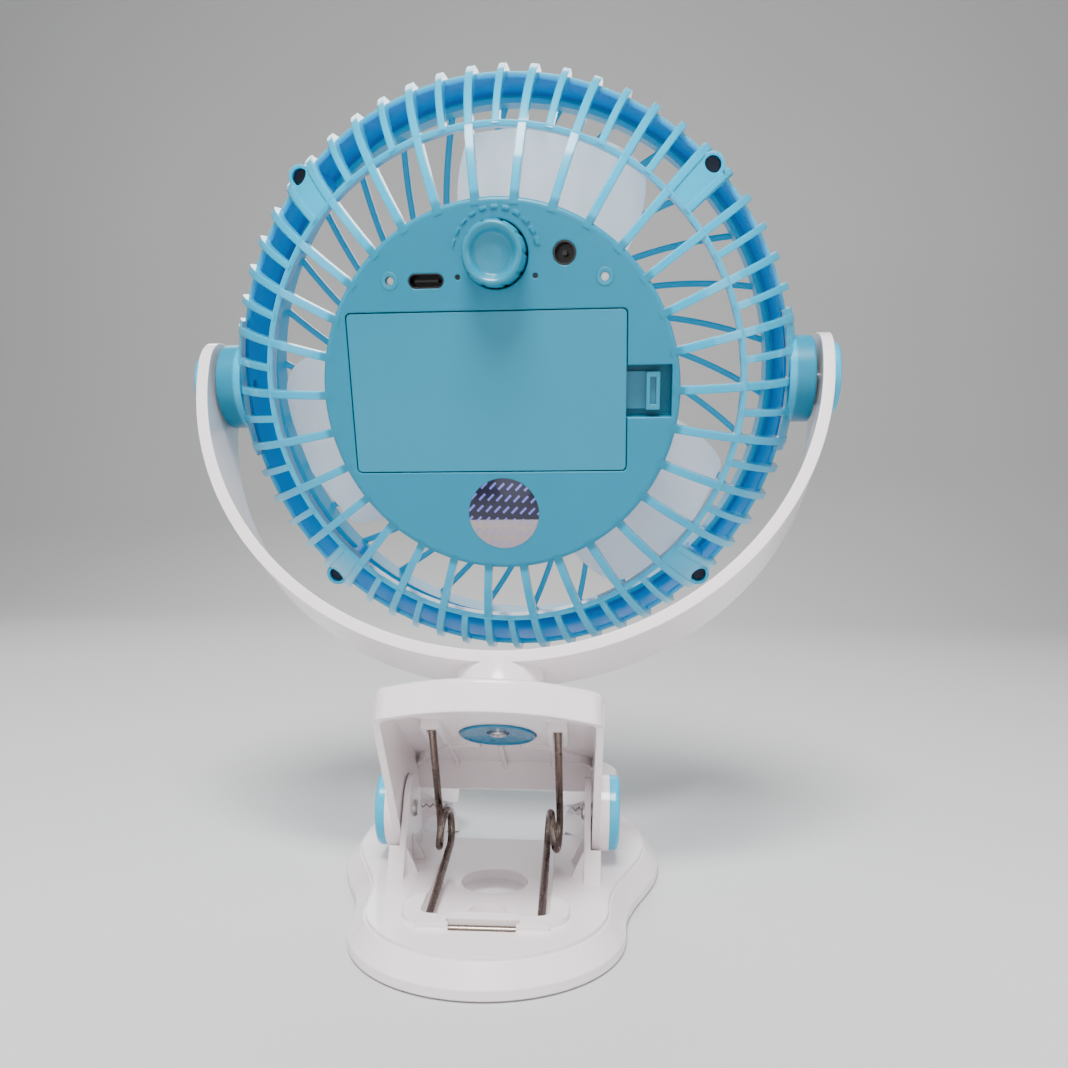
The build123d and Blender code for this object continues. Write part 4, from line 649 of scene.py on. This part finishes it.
def round_group():
    """Copies of the mesh set evenly round the Z axis."""
    group, given = node_group("set_round", ("Count", "Int"))
    points = group.nodes.new("GeometryNodePoints")
    instance = group.nodes.new("GeometryNodeInstanceOnPoints")
    index = group.nodes.new("GeometryNodeInputIndex")
    share = group.nodes.new("ShaderNodeMath")
    share.operation = "DIVIDE"
    turn = group.nodes.new("ShaderNodeMath")
    turn.operation = "MULTIPLY"
    turn.inputs[1].default_value = TURN
    angles = group.nodes.new("ShaderNodeCombineXYZ")
    group.links.new(given["Count"], points.inputs["Count"])
    group.links.new(index.outputs[0], share.inputs[0])
    group.links.new(given["Count"], share.inputs[1])
    group.links.new(share.outputs[0], turn.inputs[0])
    group.links.new(turn.outputs[0], angles.inputs["Z"])
    group.links.new(points.outputs[0], instance.inputs["Points"])
    group.links.new(given["Geometry"], instance.inputs["Instance"])
    group.links.new(angles.outputs[0], instance.inputs["Rotation"])
    return ending(group, instance.outputs[0], given["Material"])


def baked(made, group, **values):
    """Run the node group on the object once and keep what it makes as a plain mesh."""
    modifier = made.modifiers.new(group.name, "NODES")
    modifier.node_group = group
    for socket in group.interface.items_tree:
        if socket.in_out == "INPUT" and socket.name in values:
            modifier[socket.identifier] = values[socket.name]
    evaluated(made)
    return made


# ---------------------------------------------------------------- operators
class CLIPFAN_OT_stage(bpy.types.Operator):
    """Build the floor, the softboxes and the camera"""

    bl_idname = "clipfan.stage"
    bl_label = "Stage"

    def execute(self, context):
        stage = context.scene.clipfan_stage
        self.floor()
        world = bpy.data.worlds.new("studio")
        world.use_nodes = True
        sky = world.node_tree.nodes["Background"]
        sky.inputs["Color"].default_value = SKY_COLOUR
        sky.inputs["Strength"].default_value = SKY_STRENGTH
        context.scene.world = world
        for name, place, size, share in SOFTBOXES:
            self.softbox(name, place, size, stage.light_power * share)
        self.camera(stage)
        return {"FINISHED"}

    def floor(self):
        """A floor of pale paper that sweeps up into a wall behind the fan."""
        rows, steps = [(FLOOR_NEAR, 0.0), (SWEEP_FROM, 0.0)], 24
        for step in range(1, steps + 1):
            turn = math.pi / 2 * step / steps
            rows.append(
                (SWEEP_FROM - SWEEP_R * math.sin(turn), SWEEP_R - SWEEP_R * math.cos(turn))
            )
        rows.append((SWEEP_FROM - SWEEP_R, WALL_TOP))
        points = [(x, y, z) for y, z in rows for x in (-FLOOR_HALF, FLOOR_HALF)]
        faces = [(2 * k, 2 * k + 1, 2 * k + 3, 2 * k + 2) for k in range(len(rows) - 1)]
        mesh = bpy.data.meshes.new("floor")
        mesh.from_pydata(points, [], faces)
        mesh.shade_smooth()
        floor = bpy.data.objects.new("floor", mesh)
        bpy.context.scene.collection.objects.link(floor)
        paper = Finish("pale_paper")
        tone = paper.ramp(paper.noise(3, 2), (0.3, PAPER_DARK), (0.7, PAPER_PALE))
        mesh.materials.append(paper.set(Base_Color=tone, Roughness=0.8).material)

    def softbox(self, name, place, size, power):
        """A round light that faces the fan."""
        light = bpy.data.lights.new(name, "AREA")
        light.shape = "DISK"
        light.size = size
        light.energy = power
        lamp = bpy.data.objects.new(name, light)
        lamp.location = place
        lamp.rotation_euler = (LIGHT_TARGET - Vector(place)).to_track_quat("-Z", "Y").to_euler()
        bpy.context.scene.collection.objects.link(lamp)

    def camera(self, stage):
        """The camera, from its place, heading, pitch and roll."""
        data = bpy.data.cameras.new("camera")
        data.sensor_width = 36
        data.lens = stage.lens
        data.shift_x, data.shift_y = stage.shift
        data.clip_start = 0.01
        camera = bpy.data.objects.new("camera", data)
        turn = Matrix.Rotation(math.pi + stage.camera_heading, 4, "Z")
        turn = turn @ Matrix.Rotation(stage.camera_pitch, 4, "X")
        turn = turn @ Matrix.Rotation(stage.camera_roll, 4, "Y")
        camera.matrix_world = (
            Matrix.Translation(stage.camera_place) @ turn @ Matrix.Rotation(math.pi / 2, 4, "X")
        )
        bpy.context.scene.collection.objects.link(camera)
        bpy.context.scene.camera = camera


class CLIPFAN_OT_blue_pieces(bpy.types.Operator):
    """Finish the sky-blue mouldings"""

    bl_idname = "clipfan.blue_pieces"
    bl_label = "Blue pieces"

    def execute(self, context):
        colours = context.scene.clipfan_colours
        paint(shell_finish(colours), "rear_housing")
        trim = moulded("trim_blue", colours.shell, 0.30, 0.0004, coat=0.4)
        paint(trim, "battery_door", "grille_cap", "motor_plate")
        caps = moulded("cap_blue", colours.ribs, 0.30, 0.0004, coat=0.4)
        paint(caps, "yoke_caps", "hinge_caps")
        return {"FINISHED"}


class CLIPFAN_OT_blades(bpy.types.Operator):
    """Finish the milky white blades, with a painted glow"""

    bl_idname = "clipfan.blades"
    bl_label = "Blades"

    def execute(self, context):
        colour = context.scene.clipfan_colours.blades
        blades = moulded("blade_white_glow", colour, 0.25, 0.0004, 0.03, 0.4)
        blades.set(Subsurface_Weight=0.3, Subsurface_Scale=0.003)
        # painted glow: a weak emission in the blades' white makes them brighter than the light that
        # reaches them
        blades.set(Emission_Color=(*colour, 1), Emission_Strength=0.12)
        paint(blades, "fan_blade")
        return {"FINISHED"}


class CLIPFAN_OT_dark_pieces(bpy.types.Operator):
    """Finish the rubber sole, sockets, electronics and metal parts"""

    bl_idname = "clipfan.dark_pieces"
    bl_label = "Dark and metal pieces"

    def execute(self, context):
        paint(moulded("sole_rubber", SOLE_RUBBER, 0.75, 0.0003, 0.3, 0.0), "clip_sole")
        paint(
            moulded("socket_black", SOCKET_BLACK, 0.4, 0.0001, 0.05, 0.2),
            "dc_socket", "speed_control", "charge_leds", "tilt_washers", "usb_socket",
        )
        paint(
            metal("zinc_steel", ZINC_STEEL, 0.32),
            "hinge_pins", "motor_case", "motor_shaft", "battery_contacts",
            "housing_screws", "tilt_screws",
        )
        # painted shade on the grille's screws
        paint(metal("shaded_screw", SHADED_SCREW, 0.5), "grille_screws")
        paint(moulded("cell_wrap", CELL_WRAP, 0.35, 0.0003), "battery_cells")
        paint(moulded("board_green", BOARD_GREEN, 0.4, 0.0001), "control_board")
        return {"FINISHED"}


class CLIPFAN_OT_foot(bpy.types.Operator):
    """Rework the foot's pockets and the lip over the spring's crossbar"""

    bl_idname = "clipfan.foot"
    bl_label = "Foot"

    def execute(self, context):
        finish = moulded("foot_white", context.scene.clipfan_colours.white, 0.24, 0.0006, 0.03, 0.5)
        foot = fused_copy("clip_base", "clip_foot", finish)
        carve(foot, "UNION", block(finish, FILLED, (POCKET_LOW - 0.6, RECESS_LOW)))
        carve(foot, "UNION", block(finish, LIP, (FOOT_TOP - 2.6, FOOT_TOP + 1.4), 0.7))
        carve(foot, "DIFFERENCE", block(finish, WINDOW, (FOOT_TOP - 1.2, FOOT_TOP + 3), 0.5))
        carve(foot, "DIFFERENCE", block(finish, TAB_TOP, (FOOT_TOP + 1.3, FOOT_TOP + 4)))
        middle = Matrix.Translation(in_mm(0, POCKET_Y, 0))
        pocket = [(POCKET_R, POCKET_LOW), (POCKET_R, RECESS_LOW + 0.5)]
        carve(foot, "DIFFERENCE", turned("pocket", pocket, middle, finish, None))
        slot = block(finish, SLOT, (POCKET_LOW, RECESS_LOW + 0.5), 4.9, SLOT_END)
        carve(foot, "DIFFERENCE", slot)
        carved(foot, "base", "clip_base")
        return {"FINISHED"}


class CLIPFAN_OT_roof(bpy.types.Operator):
    """Seat the swivel's washer in the clip's roof, lower the ribs there and shorten the spigot"""

    bl_idname = "clipfan.roof"
    bl_label = "Roof and yoke"

    def execute(self, context):
        finish = moulded("clip_white", context.scene.clipfan_colours.white, 0.22, 0.0006, 0.03, 0.6)
        lever = fused_copy("clip_lever", "clip_roof", finish)
        boss = [(SEAT_R, ROOF_FACE), (SEAT_R, BOSS_LOW)]
        carve(lever, "DIFFERENCE", turned("boss", boss, SWIVEL_MATRIX, finish, None))
        seat = [(WASHER_R + 0.2, SWIVEL_LOW + 0.1), (WASHER_R + 0.2, -0.5)]
        carve(lever, "DIFFERENCE", turned("seat", seat, SWIVEL_MATRIX, finish, None))
        ribs = block(finish, RIBS_AREA, (-RIB_DROP, BOSS_LOW), matrix=SWIVEL_MATRIX)
        carve(lever, "DIFFERENCE", ribs)
        ends = block(finish, RIB_ENDS, (-3.2, ROOF_FACE), matrix=SWIVEL_MATRIX)
        carve(lever, "DIFFERENCE", ends)
        carved(lever, "lever", "clip_lever")
        yoke = fused_copy("yoke", "yoke_strap", finish)
        spigot = [(SEAT_R, SWIVEL_LOW), (SEAT_R, -3.6)]
        carve(yoke, "DIFFERENCE", turned("spigot", spigot, SWIVEL_MATRIX, finish, None))
        carved(yoke, "yoke", "yoke")
        return {"FINISHED"}


class CLIPFAN_OT_spring(bpy.types.Operator):
    """Wind the clip spring: one loop on each side and a crossbar between them"""

    bl_idname = "clipfan.spring"
    bl_label = "Clip spring"

    def execute(self, context):
        sizes = context.scene.clipfan_sizes
        side = self.side(sizes.coil)
        points = side + [Vector((-x, y, z)) for x, y, z in reversed(side[:-1])]
        mesh = bpy.data.meshes.new("clip_spring_wire")
        mesh.from_pydata(points, [(k, k + 1) for k in range(len(points) - 1)], [])
        spring = bpy.data.objects.new("clip_spring_wire", mesh)
        context.scene.collection.objects.link(spring)
        finish = metal("spring_steel", context.scene.clipfan_colours.spring, 0.27)
        baked(spring, wire_group(), Radius=sizes.wire, Sides=20, Material=finish.material)
        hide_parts("clip_spring")
        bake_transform(spring)
        return {"FINISHED"}

    def side(self, radius):
        """The wire on one side, from its upper end to the middle of the crossbar."""
        start = self.tangent(SPRING_TOP, radius, 1)
        end = self.tangent(SPRING_CORNER, radius, -1) + 2 * TURN
        half = COIL_PITCH * (end - start) / (2 * TURN)
        coil, steps = [], 64
        for step in range(steps + 1):
            angle = start + (end - start) * step / steps
            shift = half * math.cos(math.pi * step / steps)
            coil.append(
                COIL_CENTRE + Vector((shift, radius * math.cos(angle), radius * math.sin(angle)))
            )
        down = (SPRING_CORNER - coil[-1]).normalized()
        inward = Vector((-1, 0, 0))
        reach = SPRING_BEND * math.tan(down.angle(inward) / 2)
        first, last = SPRING_CORNER - down * reach, SPRING_CORNER + inward * reach
        bend, steps = [], 12
        for step in range(steps + 1):
            share = step / steps
            rest = 1 - share
            bend.append(first * rest**2 + SPRING_CORNER * (2 * share * rest) + last * share**2)
        middle = Vector((0, SPRING_CORNER.y, SPRING_CORNER.z))
        upper = [SPRING_TOP.lerp(coil[0], share / 6) for share in range(6)]
        lower = [coil[-1].lerp(bend[0], share / 6) for share in range(1, 6)]
        return upper + coil + lower + bend + [last.lerp(middle, 0.5), middle]

    def tangent(self, point, radius, way):
        """The angle on the coil where the straight wire from the point touches it."""
        away = point - COIL_CENTRE
        return math.atan2(away.z, away.y) + way * math.acos(radius / math.hypot(away.y, away.z))


class CLIPFAN_OT_front_grille(bpy.types.Operator):
    """Set the swirl ribs round the hub of the front grille, inside its rim"""

    bl_idname = "clipfan.front_grille"
    bl_label = "Front grille"

    def execute(self, context):
        colours = context.scene.clipfan_colours
        finish = moulded("grille_painted_glow", colours.grille, 0.36, 0.0004, coat=0.05)
        # painted glow: emission in the ribs' paler blue brightens the grille's ribs, rim and hub
        # though they are no lamp
        finish.set(Emission_Color=(*colours.ribs, 1), Emission_Strength=0.16)
        count = context.scene.clipfan_sizes.ribs
        swirl = baked(self.rib(finish), round_group(), Count=count, Material=finish.material)
        swirl.data.transform(HEAD_MATRIX)
        swirl.data.shade_smooth()
        swirl.data.set_sharp_from_angle(angle=SHARP_ANGLE)
        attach(swirl, "head")
        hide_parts("front_grille")
        front, rear = self.face(RIB_OUT), self.face(RIB_OUT) + GRILLE_T
        rim = [
            (RIM_IN, rear), (RIM_IN, front + 0.6), (RIM_IN + 0.6, front), (RIM_OUT - 0.6, front),
            (RIM_OUT, front + 0.6), (RIM_OUT, RIM_REAR), (FLANGE_OUT, RIM_REAR),
            (FLANGE_OUT, FLANGE_REAR), (RIM_IN, FLANGE_REAR),
        ]
        turned("grille_rim", rim, HEAD_MATRIX, finish, "head", steps=180, ring=True)
        hub = [(2.6, self.face(0))]
        hub += [(radius, self.face(radius)) for radius in (10, 18, 22)]
        hub += [(radius, self.face(radius) + GRILLE_T) for radius in (22, 18, 10)]
        hub.append((2.6, self.face(0) + GRILLE_T))
        turned("grille_hub", hub, HEAD_MATRIX, finish, "head", ring=True)
        return {"FINISHED"}

    def face(self, radius):
        """Height of the grille's domed front at a radius, in mm."""
        return GRILLE_FRONT - GRILLE_DOME * (1 - (radius / RIB_OUT) ** 2)

    def rib(self, finish):
        """One curved rib with softened edges, from the hub to the rim."""
        half, edge = RIB_W / 2, 0.45
        section = (
            (-half + edge, 0), (half - edge, 0), (half, edge), (half, GRILLE_T - edge),
            (half - edge, GRILLE_T), (-half + edge, GRILLE_T), (-half, GRILLE_T - edge),
            (-half, edge),
        )
        points, faces, steps = [], [], 28
        for step in range(steps + 1):
            radius = RIB_IN + (RIB_OUT - RIB_IN) * step / steps
            turn = -RIB_SWIRL * math.log(radius / RIB_IN)
            across = turn - math.atan(RIB_SWIRL) + math.pi / 2
            for side, rise in section:
                points.append(
                    in_mm(
                        radius * math.cos(turn) + side * math.cos(across),
                        radius * math.sin(turn) + side * math.sin(across),
                        self.face(radius) + rise,
                    )
                )
        count = len(section)
        for step in range(steps):
            near, far = step * count, (step + 1) * count
            for low in range(count):
                high = (low + 1) % count
                faces.append((near + low, near + high, far + high, far + low))
        faces.append(tuple(range(count)))
        faces.append(tuple(steps * count + k for k in range(count)))
        return solid("grille_swirl", points, faces, finish, None)


class CLIPFAN_OT_trim(bpy.types.Operator):
    """Make the speed knob, the swivel's washer and screw, the foil disc and the screws' rims"""

    bl_idname = "clipfan.trim"
    bl_label = "Trim"

    def execute(self, context):
        colours, sizes = context.scene.clipfan_colours, context.scene.clipfan_sizes
        blue = moulded("knob_blue", colours.shell, 0.30, 0.0003, coat=0.3)
        self.knob(blue, sizes.grips)
        # the washer takes the darker blue painted for its shade
        self.swivel(moulded("dish_shaded_blue", colours.dish, 0.28, 0.0003, coat=0.3))
        self.foil(sizes.foil)
        self.screw_rims(blue)
        return {"FINISHED"}

    def knob(self, finish, grips):
        """A knob with a hollowed face, and notches round its side."""
        top = DISC_Z + KNOB_H
        profile = [(8.3, DISC_Z - 2.4), (8.7, DISC_Z - 2.0), (8.7, top - 4.5), (8.7, top - 2.2)]
        profile += arc((8.7, top - 2.2), (5.9, top - 1.3), (0.35, 1.7))[1:]
        profile += [(5.6, top - 2.1), (5.2, top - 2.4)]
        profile += [(radius, top - 2.5) for radius in (4.6, 2.0, 0.3)]

        side_from, notch_deep = 8.2, 0.4

        def notched(radius, height, angle):
            wave = math.cos(grips * angle / 2)
            notch = max(0.0, wave) ** 24 + max(0.0, -wave) ** 24
            return (radius - notch_deep * notch if radius > side_from else radius), height

        place = HEAD_MATRIX @ Matrix.Translation(in_mm(0, KNOB_UP, 0))
        knob = turned("speed_knob_grip", profile, place, finish, "knob", steps=240, relief=notched)
        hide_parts("speed_knob")

    def swivel(self, blue):
        """A dished washer in the roof's seat, and the cross-headed screw in its middle."""
        low = SWIVEL_LOW
        dish = [
            (3.3, low), (WASHER_R, low), (WASHER_R, low - 1.3), (10.8, low - 1.6),
            (10.3, low - 1.6), (9.9, low - 1.2), (6.0, low - 0.55), (3.3, low - 0.5),
        ]
        washer = turned("swivel_dish", dish, SWIVEL_MATRIX, blue, "yoke", ring=True)
        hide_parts("swivel_washer")

        cross_out, cross_deep, steel_out = 1.6, 0.9, 2.48

        def cross(radius, height, angle):
            slot = abs(math.cos(2 * angle)) ** 10
            inward = max(0.0, 1 - radius / cross_out)
            return radius, height + cross_deep * slot * inward

        head = [
            (3.25, low - 0.1), (3.25, low - 0.35), (2.5, low - 0.4), (2.45, low - 1.1),
            (2.1, low - 1.4), (1.6, low - 1.5), (1.2, low - 1.55), (0.8, low - 1.55),
            (0.1, low - 1.55),
        ]
        centre, direction = SWIVEL_MATRIX.translation, SWIVEL_MATRIX.col[2].xyz
        finish = screw_finish(centre, direction, steel_out / 1000)
        screw = turned("swivel_screw_head", head, SWIVEL_MATRIX, finish, "yoke", relief=cross)
        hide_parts("swivel_screw")

    def foil(self, radius):
        """The bare foil disc under the battery door."""
        place = HEAD_MATRIX @ Matrix.Translation(in_mm(0, -FOIL_DOWN, 0))
        finish = foil_finish(place @ in_mm(0, 0, DISC_Z), radius)
        out, top = radius * 1000, DISC_Z + 0.12
        profile = [(out, DISC_Z + 0.01), (out, DISC_Z + 0.09), (out - 0.05, top), (0.2, top)]
        turned("foil_disc", profile, place, finish, "head")

    def screw_rims(self, finish):
        """Low rims round the housing's screws."""
        profile = [
            (1.15, DISC_Z - 0.15), (1.88, DISC_Z - 0.15), (2.5, DISC_Z - 0.02),
            (2.5, DISC_Z + 0.05), (2.3, DISC_Z + 0.12), (2.0, DISC_Z + 0.12),
            (1.25, DISC_Z + 0.02),
        ]
        for side, name in ((-1, "screw_rim_left"), (1, "screw_rim_right")):
            place = HEAD_MATRIX @ Matrix.Translation(in_mm(side * SCREW_X, SCREW_Y, 0))
            turned(name, profile, place, finish, "head", steps=48, ring=True)


class CLIPFAN_PT_panel(bpy.types.Panel):
    """Pieces of the clip fan"""

    bl_label = "Clip Fan"
    bl_idname = "CLIPFAN_PT_panel"
    bl_space_type = "VIEW_3D"
    bl_region_type = "UI"
    bl_category = "Clip Fan"

    def draw(self, context):
        for group, kind in GROUPS.items():
            for name in kind.__annotations__:
                self.layout.prop(getattr(context.scene, group), name)
        for operator in OPERATORS:
            self.layout.operator(operator.bl_idname)


GROUPS = {
    "clipfan_colours": ClipFanColours,
    "clipfan_sizes": ClipFanSizes,
    "clipfan_stage": ClipFanStage,
}
OPERATORS = (
    CLIPFAN_OT_stage,
    CLIPFAN_OT_blue_pieces,
    CLIPFAN_OT_blades,
    CLIPFAN_OT_dark_pieces,
    CLIPFAN_OT_foot,
    CLIPFAN_OT_roof,
    CLIPFAN_OT_spring,
    CLIPFAN_OT_front_grille,
    CLIPFAN_OT_trim,
)
CLASSES = (*GROUPS.values(), *OPERATORS, CLIPFAN_PT_panel)


def register():
    for made in CLASSES:
        bpy.utils.register_class(made)
    for group, kind in GROUPS.items():
        setattr(bpy.types.Scene, group, bpy.props.PointerProperty(type=kind))


def unregister():
    for group in reversed(GROUPS):
        delattr(bpy.types.Scene, group)
    for made in reversed(CLASSES):
        bpy.utils.unregister_class(made)


def main():
    register()
    bpy.ops.clipfan.stage()
    bpy.ops.clipfan.blue_pieces()
    bpy.ops.clipfan.blades()
    bpy.ops.clipfan.dark_pieces()
    bpy.ops.clipfan.foot()
    bpy.ops.clipfan.roof()
    bpy.ops.clipfan.spring()
    bpy.ops.clipfan.front_grille()
    bpy.ops.clipfan.trim()


if __name__ == "__main__":
    main()
